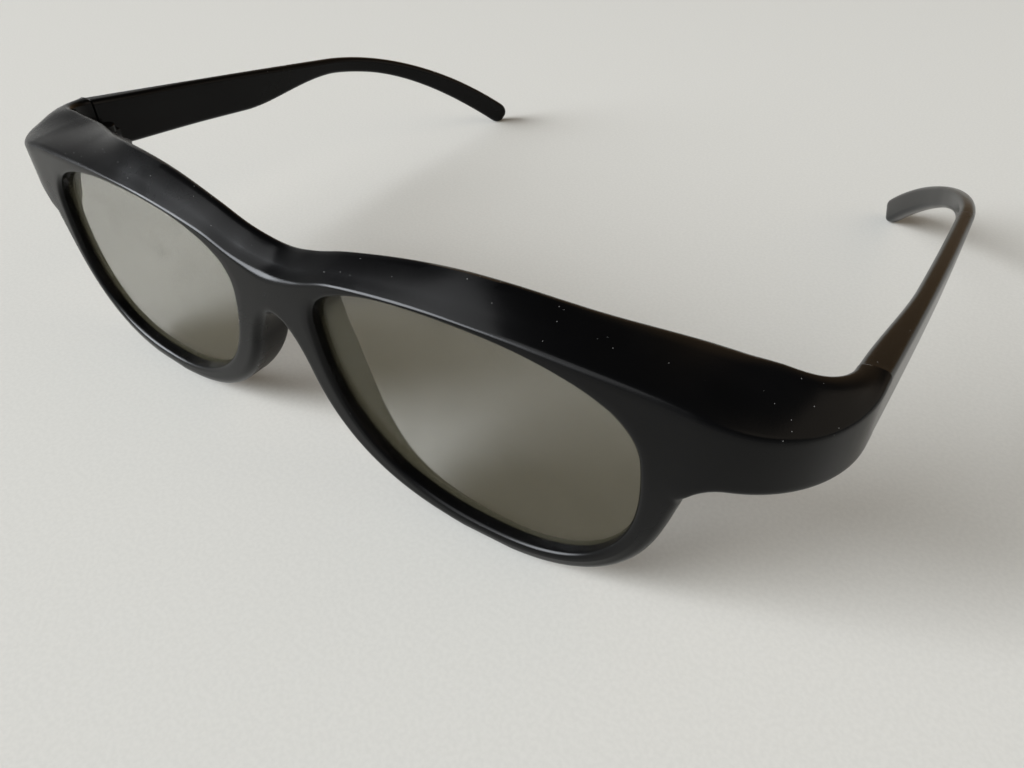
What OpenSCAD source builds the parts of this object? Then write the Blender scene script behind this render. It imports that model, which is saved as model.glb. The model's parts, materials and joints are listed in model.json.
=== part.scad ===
// Passive 3D glasses with a moulded front, two folding temples and bonded film lenses.
// Millimetres, +Z up, front towards -Y, resting on the lower rims and the temple tips.
// Left and right are the wearer's, so the left side is towards +X.

/* [Front] */
// Overall width across the end pieces
frame_w = 150.2; // [136:0.2:164]
// Front face to hinge seam, along the depth
seam_y = 20.7; // [19:0.1:26]
// Plan radius of the front face
front_r = 700; // [400:10:1500]
// Plan radius of the wrapped corner
corner_r = 16; // [13:0.5:18]
// Thickness of the end piece at the hinge seam
seam_t = 3.7; // [3:0.1:5]
// Plan radius inside the wrapped corner
inner_r = 5.2; // [4.4:0.1:6]
// Depth of the end piece block behind the front face
block_y = 14.7; // [12.5:0.1:15.2]
// Underside of the end piece above the table
under_z = 25.5; // [24:0.1:26.5]
// Drop of the fillet from that underside into the rim
port_drop = 3.1; // [2.4:0.1:3.6]
// Underside of the top flange, over the pocket behind the end piece
flange_z = 30.4; // [29.6:0.1:30.6]

/* [Lens opening] */
// Middle of the bridge to the opening centre
lens_x = 32.8; // [31:0.1:35]
// Height of the opening's widest line
lens_z = 25.3; // [24:0.1:26.5]
// Opening half width towards the nose
lens_nose = 24.5; // [23:0.1:25.5]
// Opening half width towards the temple
lens_side = 23.2; // [22:0.1:24]
// Opening height above the widest line
lens_up = 10.2; // [9:0.1:10.5]
// Opening height below the widest line
lens_down = 22.2; // [20:0.1:22.4]
// Squareness of the upper quarters, 2 is an ellipse
square_up = 2.4; // [2:0.05:2.8]
// Squareness of the lower quarters
square_low = 2.32; // [2:0.05:2.6]
// Lean of the upper edge towards the nose
lens_lean = 0.126; // [0:0.005:0.2]

/* [Rims] */
// Rim width at the nose
rim_nose = 4.3; // [3.6:0.1:5]
// Rim width at the temple side
rim_side = 4.3; // [3.6:0.1:5]
// Height of the flat that the rims rest on, cut from the round underside
rest_cut = 0.15; // [0.05:0.05:0.4]
// Rim depth at the bottom
depth_low = 4.4; // [4.3:0.1:5.4]
// Rim depth at the temple side
depth_side = 5.3; // [5.2:0.1:6]
// Depth of the nose flange
depth_nose = 7.5; // [7:0.1:9]
// Outer edge radius of the rims at the bottom
edge_r = 2; // [1.4:0.1:2.1]
// Lip radius round the opening
lip_r = 0.8; // [0.4:0.1:1]

/* [Brow and bridge] */
// Brow edge height over the lens
brow_z = 36.95; // [36.5:0.05:38]
// Brow edge height at the middle of the bridge
bridge_z = 32.5; // [31:0.1:34]
// Brow edge height at the corner
corner_z = 34.1; // [33.5:0.1:35.2]
// Brow edge height at the hinge seam
seam_z = 35.1; // [34:0.1:36]
// Rise of the brow's top from front to back, over the lens
brow_rise = 2.7; // [1:0.1:3.5]
// Depth of the brow over the lens
brow_depth = 7.8; // [7:0.1:9]
// Depth of the bridge
bridge_depth = 5.6; // [5:0.1:8]
// Underside of the bridge above the table
arch_z = 24.8; // [23:0.1:26]
// Brow edge radius over the lens
brow_r = 0.75; // [0.4:0.05:0.9]
// Brow edge radius at the bridge
bridge_r = 2.1; // [1:0.1:2.5]

/* [Lenses] */
// Lens front face behind the front face, at the opening centre
lens_back = 2; // [1.9:0.1:2.1]
// Retarder film thickness
retarder_t = 0.2; // [0.1:0.05:0.3]
// Polariser film thickness
polariser_t = 0.25; // [0.1:0.05:0.3]
// Backing sheet thickness
backing_t = 0.35; // [0.2:0.05:0.5]
// Depth of the lens groove in the rim
groove_d = 0.9; // [0.6:0.1:1.2]
// Clearance between lens edge and groove bottom
lens_gap = 0.15; // [0.1:0.05:0.3]
// Slack of the lens in the width of the groove
groove_gap = 0.06; // [0.03:0.01:0.15]

/* [Temples] */
// Height of the temple at the hinge
arm_h0 = 9.6; // [8:0.1:11]
// Height of the temple before it narrows
arm_h1 = 8.1; // [6.5:0.1:9]
// Height of the temple at the ear bend
arm_h2 = 3.4; // [2.6:0.1:4]
// Height of the temple at the tip
arm_h3 = 5.2; // [4:0.1:6.5]
// Thickness of the temple over its middle
arm_t = 2.5; // [2:0.1:3.2]
// Thickness of the temple at the tip
tip_t = 3; // [2.4:0.1:3.6]
// Start of the narrowing towards the ear bend
narrow_y = 56; // [50:1:62]
// End of the narrowing, where the temple is slimmest
slim_y = 84; // [78:1:90]
// Length over which the temple thins from the hinge
thin_len = 26; // [18:1:34]
// Start of the ear bend
bend_y = 81; // [76:1:86]
// Start of the widening towards the tip
widen_y = 94; // [90:1:100]
// End of the tip along the depth
tip_y = 132.6; // [124:0.2:142]
// Outer face of the tip, from the middle
tip_x = 55.9; // [50:0.1:62]
// Top edge of the tip above the table
tip_z = 2.9; // [2.6:0.1:6]
// Fall of the top edge from hinge to bend
arm_fall = 0.132; // [0.1:0.002:0.16]
// Fall of the tip at its end, per length of depth
tip_fall = 0.9; // [0.7:0.05:1]
// Inward turn of the tip at its end, per length of depth
tip_turn = 0.5; // [0.3:0.05:0.7]
// Inward turn of the temple at the bend, per length of depth
bend_turn = 0.035; // [0:0.005:0.06]
// Edge radius of the temples
arm_r = 1.05; // [0.5:0.05:1.1]

/* [Hinges] */
// Pin diameter
pin_d = 1.2; // [1:0.1:1.6]
// Radius of the hinge knuckles
knuckle_r = 1.6; // [1.4:0.05:1.7]
// Pin axis inside the inner face of the temple
axis_in = 2.1; // [2:0.05:2.4]
// Underside of the lower lug
lug_z = 26.1; // [25.9:0.1:26.3]
// Height of each lug and of the knuckle between them
lug_h = 1.5; // [1.4:0.05:1.6]
// End play of the temple knuckle at each face
end_play = 0.08; // [0.05:0.01:0.15]
// Radial clearance of the pin in the temple knuckle
run_gap = 0.04; // [0.02:0.01:0.08]
// Radial clearance of the pin in the frame lugs
lug_gap = 0.01; // [0.01:0.005:0.03]
// Gap of the butt seam
seam_gap = 0.05; // [0.02:0.01:0.2]

/* [Hidden] */
$fn = 48;
black = [0.06, 0.06, 0.065];
steel = [0.7, 0.7, 0.72];

// Plan of the front: a long arc, the corner arc and a straight side up to the seam.
half_w = frame_w / 2;
corner_x = (half_w - corner_r) / (1 - corner_r / front_r);
corner_a = asin(corner_x / front_r);
corner_cx = half_w - corner_r;
corner_cy = front_r * (1 - cos(corner_a)) + corner_r * cos(corner_a);
in_x = half_w - seam_t;
in_cx = in_x - inner_r;
in_cy = block_y + inner_r;

// Hinge axis, and the heights of lugs and knuckle.
axis_x = in_x - axis_in;
axis_y = seam_y;
pin_r = pin_d / 2;
head_r = pin_r + 0.4;
head_h = 0.45;
knuckle_z = lug_z + lug_h + end_play;
upper_z = knuckle_z + lug_h + end_play;
pin_top = upper_z + lug_h - 0.45;
// Lap of the lugs' webs along the side wall, in front of the corner centre.
web_lap = 3;

// Lens plane: flat, turned to follow the chord of the front face across the opening.
lens_t = retarder_t + polariser_t + backing_t;
nose_x = lens_x - lens_nose;
side_x = lens_x + lens_side;
lens_slope = (front_y(side_x) - front_y(nose_x)) / (side_x - nose_x);
lens_yaw = atan(lens_slope);

// Rim width at the bottom puts the round underside a little below the table.
rim_low = lens_z - lens_down + rest_cut;
// Port where the end piece leaves the rim.
port_x = lens_x + lens_side + rim_side + 0.6;
port_z = under_z - port_drop;
port_a = asin((port_x - corner_cx) / corner_r);
// Parameter angles round the opening, where one stretch of the outline gives way to the next.
brow_angle = 150;
port_angle = 38;
rim_angle = -5;
arch_angle = -168;
bridge_angle = -182;
turn_angle = 360;
n_brow = 20;
n_port = 6;
n_rim = 32;
n_arch = 5;
n_bridge = 5;
n_arm = 11;
n_lens = 72;

function mix(a, b, t) = a + (b - a) * t;
function clamp01(t) = min(1, max(0, t));
function ease(t) = let (c = clamp01(t)) c * c * (3 - 2 * c);
function unit(v) = v / norm(v);
function signed_pow(v, e) = sign(v) * pow(abs(v), e);

// Smooth curve through [position, value] pairs, with the slope of the neighbours at each pair.
function slope_at(c, i) = let (a = c[max(0, i - 1)], b = c[min(len(c) - 1, i + 1)])
    (b[1] - a[1]) / (b[0] - a[0]);
function seg_of(c, x, i = 0) = i >= len(c) - 2 || x < c[i + 1][0] ? i : seg_of(c, x, i + 1);
function curve(c, x) = let (i = seg_of(c, x), p = c[i], q = c[i + 1], d = q[0] - p[0])
    hermite(p[1], slope_at(c, i) * d, q[1], slope_at(c, i + 1) * d, clamp01((x - p[0]) / d));
function hermite(p, m, q, k, t) = let (t2 = t * t, t3 = t2 * t)
    p * (2 * t3 - 3 * t2 + 1) + m * (t3 - 2 * t2 + t) + q * (3 * t2 - 2 * t3) + k * (t3 - t2);

// The same pairs with the second one mirrored, so the curve starts level at the middle plane.
function level_start(c) = concat([[-c[1][0], c[1][1]]], c);

// Front face depth at a distance from the middle.
function front_y(x) = x < corner_x ? front_r - sqrt(front_r * front_r - x * x)
    : corner_cy - sqrt(corner_r * corner_r - pow(x - corner_cx, 2));
function lens_y(x) = front_y(lens_x) + lens_back + lens_slope * (x - lens_x);

// Lens opening outline and its outward normal, by parameter angle.
function opening(t) = let (
        c = cos(t),
        s = sin(t),
        e = 2 / (s > 0 ? square_up : square_low),
        z = (s > 0 ? lens_up : lens_down) * signed_pow(s, e))
    [lens_x + (c > 0 ? lens_side : lens_nose) * signed_pow(c, e) - lens_lean * z, lens_z + z];
function opening_n(t) = let (d = opening(t + 0.5) - opening(t - 0.5)) unit([d[1], -d[0]]);

// Design curves along the brow, from the middle of the bridge to the port.
x_dip = 0.1 * port_x;
x_shoulder = 0.21 * port_x;
x_inner = 0.38 * port_x;
x_mid = 0.59 * port_x;
x_outer = 0.77 * port_x;
x_end = 0.925 * port_x;
crease_c = level_start([[0, bridge_z], [x_dip, bridge_z + 0.95], [x_shoulder, mix(bridge_z, brow_z, 0.56)],
    [x_inner, mix(bridge_z, brow_z, 0.865)], [lens_x, brow_z], [x_outer, brow_z - 0.55],
    [x_end, brow_z - 1.1], [port_x, mix(corner_z, brow_z, 0.42)]]);
rise_c = level_start([[0, 0.62 * brow_rise], [x_dip, 0.73 * brow_rise], [x_shoulder, 0.83 * brow_rise],
    [x_inner, 0.945 * brow_rise], [x_mid, brow_rise], [x_outer, 0.55 * brow_rise],
    [x_end, 0.17 * brow_rise], [port_x, 0.17 * brow_rise]]);
depth_c = level_start([[0, bridge_depth], [x_dip, bridge_depth - 0.5], [x_shoulder, bridge_depth - 0.3],
    [x_inner, mix(bridge_depth, brow_depth, 0.35)], [x_mid, brow_depth],
    [x_outer, mix(brow_depth, block_y, 0.47)], [x_end, mix(brow_depth, block_y, 0.935)], [port_x, block_y]]);
round_c = level_start([[0, bridge_r], [x_dip, mix(brow_r, bridge_r, 0.6)], [x_shoulder, brow_r],
    [lens_x, brow_r], [port_x, brow_r + 0.1]]);

// Rim depth, width and edge radius round the lower outline, from the port (0) to the arch (1).
low_depth_c = [[0, depth_side + 0.3], [0.08, depth_side + 0.2], [0.18, depth_side],
    [0.32, mix(depth_low, depth_side, 0.5)], [0.55, depth_low], [0.72, depth_low + 0.4],
    [0.85, mix(depth_low, depth_nose, 0.6)], [0.93, depth_nose - 0.3], [1, depth_nose]];
low_width_c = [[0, rim_side - 0.1], [0.12, rim_side - 0.4], [0.3, rim_side - 0.6], [0.52, rim_low],
    [0.62, rim_low], [0.85, rim_nose - 0.25], [1, rim_nose]];
edge_c = [[0, 0.6 * edge_r], [0.25, 0.8 * edge_r], [0.55, edge_r], [0.8, 0.75 * edge_r], [1, 0.6 * edge_r]];

// One section of the rim: a closed loop of points, counted from the lip over the front,
// the outer wall, the back and the lens groove. o opening, n its normal, q outer edge,
// d outward direction there, b outer edge at the back, yb back depth, rl, rf, rb radii.
function section(o, n, q, d, b, yb, rl, rf, rb, crown, p4, p10) = let (
        k = 0.293,
        i = o + 0.5 * n,
        f0 = front_y(o[0]),
        fq = front_y(q[0]),
        m = (q + b) / 2,
        yl = lens_y(o[0]),
        g = o + groove_d * n,
        yg = lens_y(g[0]),
        gw = lens_t + groove_gap,
        ri = min(0.8, 0.6 * (yb - yl - gw)))
    [
        pt(o, f0 + rl),
        pt(o + k * rl * n, f0 + k * rl),
        pt(o + rl * n, front_y(o[0] + rl * n[0])),
        mid_front(o + rl * n, p4 == undef ? q - rf * d : p4),
        p4 == undef ? pt(q - rf * d, fq) : pt(p4, front_y(p4[0])),
        pt(q - k * rf * d, fq + k * rf),
        pt(q, fq + rf),
        pt(m + crown * d, (fq + rf + yb - rb) / 2),
        pt(b, yb - rb),
        pt(b - k * rb * d, yb - k * rb),
        p10 == undef ? pt(b - rb * d, yb) : pt(p10, yb),
        pt(i + ri * n, yb),
        pt(i, yb - ri),
        pt(o, yl + gw),
        pt(g, yg + gw),
        pt(g, yg),
        pt(o, yl)
    ];
function pt(p, y) = [p[0], y, p[1]];
function mid_front(a, b) = let (m = (a + b) / 2) pt(m, front_y(m[0]));

// Brow sections, from the middle of the bridge to the port.
function brow_section(u) = let (
        t = mix(brow_angle, port_angle, u),
        o = opening(t),
        o0 = opening(brow_angle),
        o1 = opening(port_angle),
        x = o[0] - o0[0] * pow(1 - u, 3) + (port_x - o1[0]) * pow(u, 3),
        qx = u < 0.001 ? 0 : (u > 0.999 ? port_x : x),
        h = u < 0.001 ? 0 : (curve(crease_c, qx) - curve(crease_c, qx - 0.1)) / 0.1,
        q = [qx, curve(crease_c, qx)],
        d = u < 0.001 || u > 0.999 ? [0, 1] : unit([-h, 1]),
        top = ease(sin(180 * u) * 1.6))
    section(o, opening_n(t), q, d, q + [0, curve(rise_c, qx)], curve(depth_c, qx),
        mix(lip_r * 0.8, 0.35, top), curve(round_c, qx), 1.7, 0.12);

// Sections of the port, between the brow and the lower rim. Only their inner part is used.
function port_section(u) = let (
        a = brow_section(1),
        b = rim_section(0),
        t = mix(port_angle, rim_angle, u),
        p4 = mix(a[4], b[4], u),
        p10 = mix(a[10], b[10], u))
    section(opening(t), opening_n(t), [port_x, p4[2]], [1, 0], [port_x, p10[2]],
        mix(a[10][1], b[10][1], ease(1.5 * u - 0.5)), lip_r, 0.1, 0.1, 0, [port_x, p4[2]], [port_x, p10[2]]);

// Lower rim, from the port round the bottom to the arch.
function rim_edge(u) = let (t = mix(rim_angle, arch_angle, u))
    opening(t) + curve(low_width_c, u) * opening_n(t);
function rim_section(u) = let (
        t = mix(rim_angle, arch_angle, u),
        n = opening_n(t),
        e = rim_edge(u) + pow(1 - u, 8) * ([port_x, port_z] - rim_edge(0)),
        q = [e[0], max(0, e[1])],
        d = unit(mix(n, [0.8, -0.6], pow(1 - u, 8))),
        s = ease((u - 0.7) / 0.3))
    section(opening(t), n, q, d, q + [0.5 * s, 0], curve(low_depth_c, u), lip_r, curve(edge_c, u),
        mix(0.6, 1, s), 0);

// Arch under the bridge, from the nose side of the rim up to the middle.
function arch_section(u) = let (
        t = mix(arch_angle, bridge_angle, u),
        e = rim_edge(1),
        x = u > 0.999 ? 0 : e[0] * (1 - u),
        q = [x, arch_z - (arch_z - e[1]) * pow(x / e[0], 2)],
        d = mix(opening_n(arch_angle), [0, -1], ease(u)))
    section(opening(t), opening_n(t), q, u > 0.999 ? [0, -1] : unit(d), q + [0.5 * (1 - ease(u)), 0],
        mix(depth_nose, bridge_depth + 1.4, ease(u)), lip_r, 0.6 * edge_r, 1, 0);

// Bridge sections on the middle plane. Only their inner part is used.
function bridge_section(u) = let (
        a = arch_section(1),
        b = brow_section(0),
        t = mix(bridge_angle, brow_angle - turn_angle, u),
        p4 = mix(a[4], b[4], u),
        p10 = mix(a[10], b[10], u))
    section(opening(t), opening_n(t), [0, p4[2]], [-1, 0], [0, p10[2]], p10[1], lip_r, 0.1, 0.1, 0,
        [0, p4[2]], [0, p10[2]]);

sections = concat(
    [for (i = [0 : n_brow - 1]) brow_section(i / n_brow)],
    [brow_section(1)],
    [for (i = [1 : n_port - 1]) port_section(i / n_port)],
    [for (i = [0 : n_rim - 1]) rim_section(i / n_rim)],
    [for (i = [0 : n_arch]) arch_section(i / n_arch)],
    [for (i = [1 : n_bridge - 1]) bridge_section(i / n_bridge)]);
n_sec = len(sections);
n_pt = len(sections[0]);
i_port = n_brow;
i_rim = n_brow + n_port;
i_mid = i_rim + n_rim + n_arch;
n_front = 4;
n_back = 10;

// End piece: rings from the port round the corner to the seam.
arm_out = corner_r * (90 - port_a) * PI / 180;
arm_len = arm_out + seam_y - corner_cy;
in_len = in_cx - port_x + inner_r * PI / 2 + seam_y - in_cy;
function out_at(v) = let (l = v * arm_len, a = port_a + l / corner_r * 180 / PI)
    l < arm_out ? [[corner_cx + corner_r * sin(a), corner_cy - corner_r * cos(a)], [-sin(a), cos(a)]]
    : [[half_w, corner_cy + l - arm_out], [-1, 0]];
function in_at(v) = let (l = v * in_len, s = in_cx - port_x, a = (l - s) / inner_r * 180 / PI)
    l < s ? [[port_x + l, block_y], [0, -1]]
    : (a < 90 ? [[in_cx + inner_r * sin(a), in_cy - inner_r * cos(a)], [sin(a), -cos(a)]]
    : [[in_x, in_cy + l - s - inner_r * PI / 2], [1, 0]]);
end_top_c = [[0, curve(crease_c, port_x)], [0.3, corner_z], [0.6, corner_z + 0.05], [1, seam_z]];
end_ridge_c = [[0, curve(crease_c, port_x) + curve(rise_c, port_x)], [0.35, seam_z + 0.7],
    [0.7, seam_z + 0.4], [1, seam_z]];
function arm_edge(o, i, zo, zi, ro, ri, up, lift = 0.5) = let (k = 0.293)
    [
        pt3(o[0], zo - up * ro),
        pt3(o[0] + k * ro * o[1], zo - up * k * ro),
        pt3(o[0] + ro * o[1], zo),
        pt3((o[0] + i[0]) / 2, mix(zo, zi, lift) + up * 0.12),
        pt3(i[0] + ri * i[1], zi),
        pt3(i[0] + k * ri * i[1], zi - up * k * ri),
        pt3(i[0], zi - up * ri)
    ];
function pt3(p, z) = [p[0], p[1], z];
function reverse(l) = [for (i = [len(l) - 1 : -1 : 0]) l[i]];
function between(a, b) = [for (i = [1 : n_port - 1]) mix(a, b, i / n_port)];
function arm_ring(v) = let (
        o = out_at(v),
        i = in_at(v),
        zu = mix(port_z, under_z, pow(ease(0.42 + v * 2.4) - ease(0.42), 1) / (1 - ease(0.42))),
        top = arm_edge(o, i, curve(end_top_c, v), curve(end_ridge_c, v), mix(brow_r + 0.1, arm_r, v),
            mix(1.7, 0.9, ease(v * 2)), 1, mix(0.5, 0.95, ease(v))),
        low = arm_edge(o, i, zu, zu, 0.9, 0.9, -1))
    concat(top, between(top[6], low[6]), reverse(low), between(low[0], top[0]));
port_ring = concat(
    [for (j = [n_front : n_back]) sections[i_port][j]],
    [for (i = [i_port + 1 : i_rim - 1]) sections[i][n_back]],
    [for (j = [n_back : -1 : n_front]) sections[i_rim][j]],
    [for (i = [i_rim - 1 : -1 : i_port + 1]) sections[i][n_front]]);
n_ring = len(port_ring);
rings = concat([port_ring], [for (i = [1 : n_arm]) arm_ring(i / n_arm)]);

// Half front as points and faces, then the mirrored half.
half_pts = concat([for (s = sections) each s], [for (r = rings) each r]);
ring_0 = n_sec * n_pt;
function in_gap(i, j) = j >= n_front && j < n_back && ((i >= i_port && i < i_rim) || i >= i_mid);
half_faces = concat(
    [for (i = [0 : n_sec - 1]) for (j = [0 : n_pt - 1]) if (!in_gap(i, j))
        let (a = i * n_pt, b = ((i + 1) % n_sec) * n_pt, k = (j + 1) % n_pt)
        each [[a + j, b + k, b + j], [a + j, a + k, b + k]]],
    [for (i = [0 : n_arm - 1]) for (j = [0 : n_ring - 1])
        let (a = ring_0 + i * n_ring, b = a + n_ring, k = (j + 1) % n_ring)
        each [[a + j, b + k, b + j], [a + j, a + k, b + k]]],
    [[for (j = [3 : n_ring + 2]) ring_0 + n_arm * n_ring + j % n_ring]]);
n_half = len(half_pts);
front_pts = concat(half_pts, [for (p = half_pts) [p[0] == 0 ? 0 : -p[0], p[1], p[2]]]);
front_faces = concat(half_faces, [for (f = half_faces) [for (j = [len(f) - 1 : -1 : 0]) f[j] + n_half]]);

// Plan of the pocket behind the end piece, inside a wall of even thickness.
pocket_t = seam_t + 0.3;
pocket_r = corner_r - pocket_t;
pocket_x = lens_x + 0.65 * lens_side;
pocket_pts = concat(
    [for (x = [pocket_x, side_x - 2]) [x, front_y(x) + pocket_t]],
    [for (i = [0 : 10]) let (a = mix(corner_a, 90, i / 10))
        [corner_cx + pocket_r * sin(a), corner_cy - pocket_r * cos(a)]],
    [[half_w - pocket_t, seam_y + 1], [pocket_x, seam_y + 1]]);
rib_y = corner_cy - sqrt(pow(pocket_r, 2) - pow(axis_x - knuckle_r - corner_cx, 2)) - 0.5;

// Temple: rings along the top edge, upright at the seam and square to the path in the hook.
bend_x = half_w - 1;
arm_z0 = seam_z - 0.2;
bend_z = arm_z0 - arm_fall * (bend_y - seam_y);
hook_y = tip_y - bend_y;
function hook_t(y) = (y - bend_y) / hook_y;
function arm_top(y) = y < bend_y ? arm_z0 - arm_fall * (y - seam_y)
    : hermite(bend_z, -arm_fall * hook_y, tip_z, -tip_fall * hook_y, hook_t(y));
function arm_x(y) = y < bend_y ? hermite(half_w - 0.05, 0, bend_x, -bend_turn * (bend_y - seam_y),
        (y - seam_y) / (bend_y - seam_y))
    : hermite(bend_x, -bend_turn * hook_y, tip_x, -tip_turn * hook_y, hook_t(y));
function arm_h(y) = let (
        a = mix(arm_h0, arm_h1, (y - seam_y) / (narrow_y - seam_y)),
        b = mix(a, arm_h2, ease((y - narrow_y) / (slim_y - narrow_y))))
    mix(b, arm_h3, ease((y - widen_y) / (tip_y - widen_y)));
function arm_th(y) = let (a = mix(seam_t - 0.05, arm_t, ease((y - seam_y) / thin_len)))
    mix(a, tip_t, ease((y - widen_y) / (tip_y - widen_y)));
function arm_at(y) = [arm_x(y), y, arm_top(y)];
function arm_dir(y) = unit(arm_at(y + 0.2) - arm_at(max(seam_y, y - 0.2)));
function arm_axes(y) = let (
        k = ease((y - seam_y) / (bend_y - seam_y)),
        d = arm_dir(y),
        t = unit([d[0] * k, d[1], d[2] * k]),
        h = unit([0, 0, 1] - t[2] * t))
    [cross(t, h), h];
function corner_pts(r, cx, cz, a) = [for (i = [0 : 3]) let (b = a + 30 * i)
    [cx + r * cos(b), cz + r * sin(b)]];
// Rounded rectangle with its top right corner at the origin.
function arm_shape(w, h, r) = concat(corner_pts(r, -r, -r, 0), corner_pts(r, r - w, -r, 90),
    corner_pts(r, r - w, r - h, 180), corner_pts(r, -r, r - h, 270));
function arm_loop(y, s = 1) = let (
        w = arm_th(y),
        h = arm_h(y),
        r = min(arm_r, 0.46 * w, 0.46 * h),
        ax = arm_axes(y))
    [for (p = arm_shape(w, h, r))
        let (q = [(p[0] + w / 2) * s - w / 2, (p[1] + h / 2) * s - h / 2])
        arm_at(y) + q[0] * ax[0] + q[1] * ax[1]];
tip_len = 2.2;
arm_ys = concat([for (i = [0 : 7]) mix(seam_y + seam_gap, narrow_y, i / 8)],
    [for (i = [0 : 17]) mix(narrow_y, tip_y - tip_len, i / 18)]);
arm_loops = concat([for (y = arm_ys) arm_loop(y)],
    [for (a = [0, 25, 48, 66, 80]) arm_loop(tip_y - tip_len + tip_len * sin(a), cos(a))]);
n_loop = len(arm_loops[0]);
arm_pts = [for (l = arm_loops) each l];
arm_faces = concat(
    [[for (j = [n_loop - 1 : -1 : 0]) j]],
    [for (i = [0 : len(arm_loops) - 2]) for (j = [0 : n_loop - 1])
        let (a = i * n_loop, b = a + n_loop, k = (j + 1) % n_loop)
        each [[a + j, b + k, b + j], [a + j, a + k, b + k]]],
    [[for (j = [0 : n_loop - 1]) (len(arm_loops) - 1) * n_loop + j]]);
back_y = max([for (p = arm_pts) p[1]]);
mid_y = back_y / 2;

// Lens outline in its own plane, from the opening centre.
lens_pts = [for (i = [0 : n_lens - 1])
    let (t = turn_angle * i / n_lens, p = opening(t) + (groove_d - lens_gap) * opening_n(t))
    [(p[0] - lens_x) / cos(lens_yaw), p[1]]];

module centred() {
    translate([0, -mid_y, 0])
        children();
}

// One lug: a round eye on a rib that grows from the walls of the end piece.
module lug(z0) {
    translate([axis_x, axis_y, z0])
        cylinder(r = knuckle_r, h = lug_h);
    translate([axis_x - knuckle_r, rib_y, z0])
        cube([2 * knuckle_r, axis_y - rib_y, lug_h]);
    translate([axis_x, corner_cy - web_lap, z0])
        cube([axis_in + 1.2, axis_y - corner_cy + web_lap - 0.5, lug_h]);
}

// The pin goes in from below, so the upper lug is closed at the top.
module lug_bores() {
    translate([axis_x, axis_y, lug_z - 1])
        cylinder(r = pin_r + lug_gap, h = pin_top - lug_z + 1);
}

module hinge_lugs() {
    lug(lug_z);
    lug(upper_z);
}

// Pocket behind the end piece, open to the back and below, under the top flange.
module pocket() {
    translate([0, 0, port_z - 1])
        linear_extrude(height = flange_z - port_z + 1)
            polygon(pocket_pts);
}

module front_shell() {
    difference() {
        polyhedron(front_pts, front_faces);
        pocket();
        mirror([1, 0, 0])
            pocket();
    }
}

module front_frame() {
    color(black)
        centred()
            difference() {
                union() {
                    front_shell();
                    hinge_lugs();
                    mirror([1, 0, 0])
                        hinge_lugs();
                }
                lug_bores();
                mirror([1, 0, 0])
                    lug_bores();
            }
}

module temple() {
    difference() {
        union() {
            polyhedron(arm_pts, arm_faces);
            translate([axis_x, axis_y, knuckle_z])
                cylinder(r = knuckle_r, h = lug_h);
            translate([axis_x, axis_y + 0.25, knuckle_z])
                cube([axis_in + 1, 2.6, lug_h]);
        }
        translate([axis_x, axis_y, knuckle_z - 1])
            cylinder(r = pin_r + run_gap, h = lug_h + 2);
    }
}

module left_temple() {
    color(black)
        centred()
            temple();
}

module right_temple() {
    color(black)
        centred()
            mirror([1, 0, 0])
                temple();
}

module hinge_pin() {
    translate([axis_x, axis_y, lug_z])
        cylinder(r = pin_r, h = pin_top - lug_z - 0.05);
    translate([axis_x, axis_y, lug_z - head_h])
        cylinder(r = head_r, h = head_h);
}

module left_hinge_pin() {
    color(steel)
        centred()
            hinge_pin();
}

module right_hinge_pin() {
    color(steel)
        centred()
            mirror([1, 0, 0])
                hinge_pin();
}

// One flat layer of the lens, starting at a depth behind the lens front face.
module lens_layer(start, t) {
    translate([lens_x, lens_y(lens_x), 0])
        rotate([0, 0, lens_yaw])
            translate([0, start + t, 0])
                rotate([90, 0, 0])
                    linear_extrude(height = t)
                        polygon(lens_pts);
}

module left_retarder_film() {
    color([0.75, 0.75, 0.7, 0.4])
        centred()
            lens_layer(0, retarder_t);
}

module right_retarder_film() {
    color([0.75, 0.75, 0.7, 0.4])
        centred()
            mirror([1, 0, 0])
                lens_layer(0, retarder_t);
}

module left_polariser_film() {
    color([0.4, 0.4, 0.37, 0.6])
        centred()
            lens_layer(retarder_t, polariser_t);
}

module right_polariser_film() {
    color([0.4, 0.4, 0.37, 0.6])
        centred()
            mirror([1, 0, 0])
                lens_layer(retarder_t, polariser_t);
}

module left_backing_sheet() {
    color([0.85, 0.85, 0.83, 0.3])
        centred()
            lens_layer(retarder_t + polariser_t, backing_t);
}

module right_backing_sheet() {
    color([0.85, 0.85, 0.83, 0.3])
        centred()
            mirror([1, 0, 0])
                lens_layer(retarder_t + polariser_t, backing_t);
}

front_frame();
right_temple();
left_temple();
right_hinge_pin();
left_hinge_pin();
right_retarder_film();
left_retarder_film();
right_polariser_film();
left_polariser_film();
right_backing_sheet();
left_backing_sheet();
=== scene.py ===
"""Dressed model of passive 3D glasses: matt black front and temples, steel hinge pins, film lenses."""

import json
import logging
import math
from dataclasses import dataclass, field
from enum import Enum
from typing import Any, Iterable, Sequence, Union

import bmesh
import bpy
from mathutils import Matrix, Vector

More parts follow.
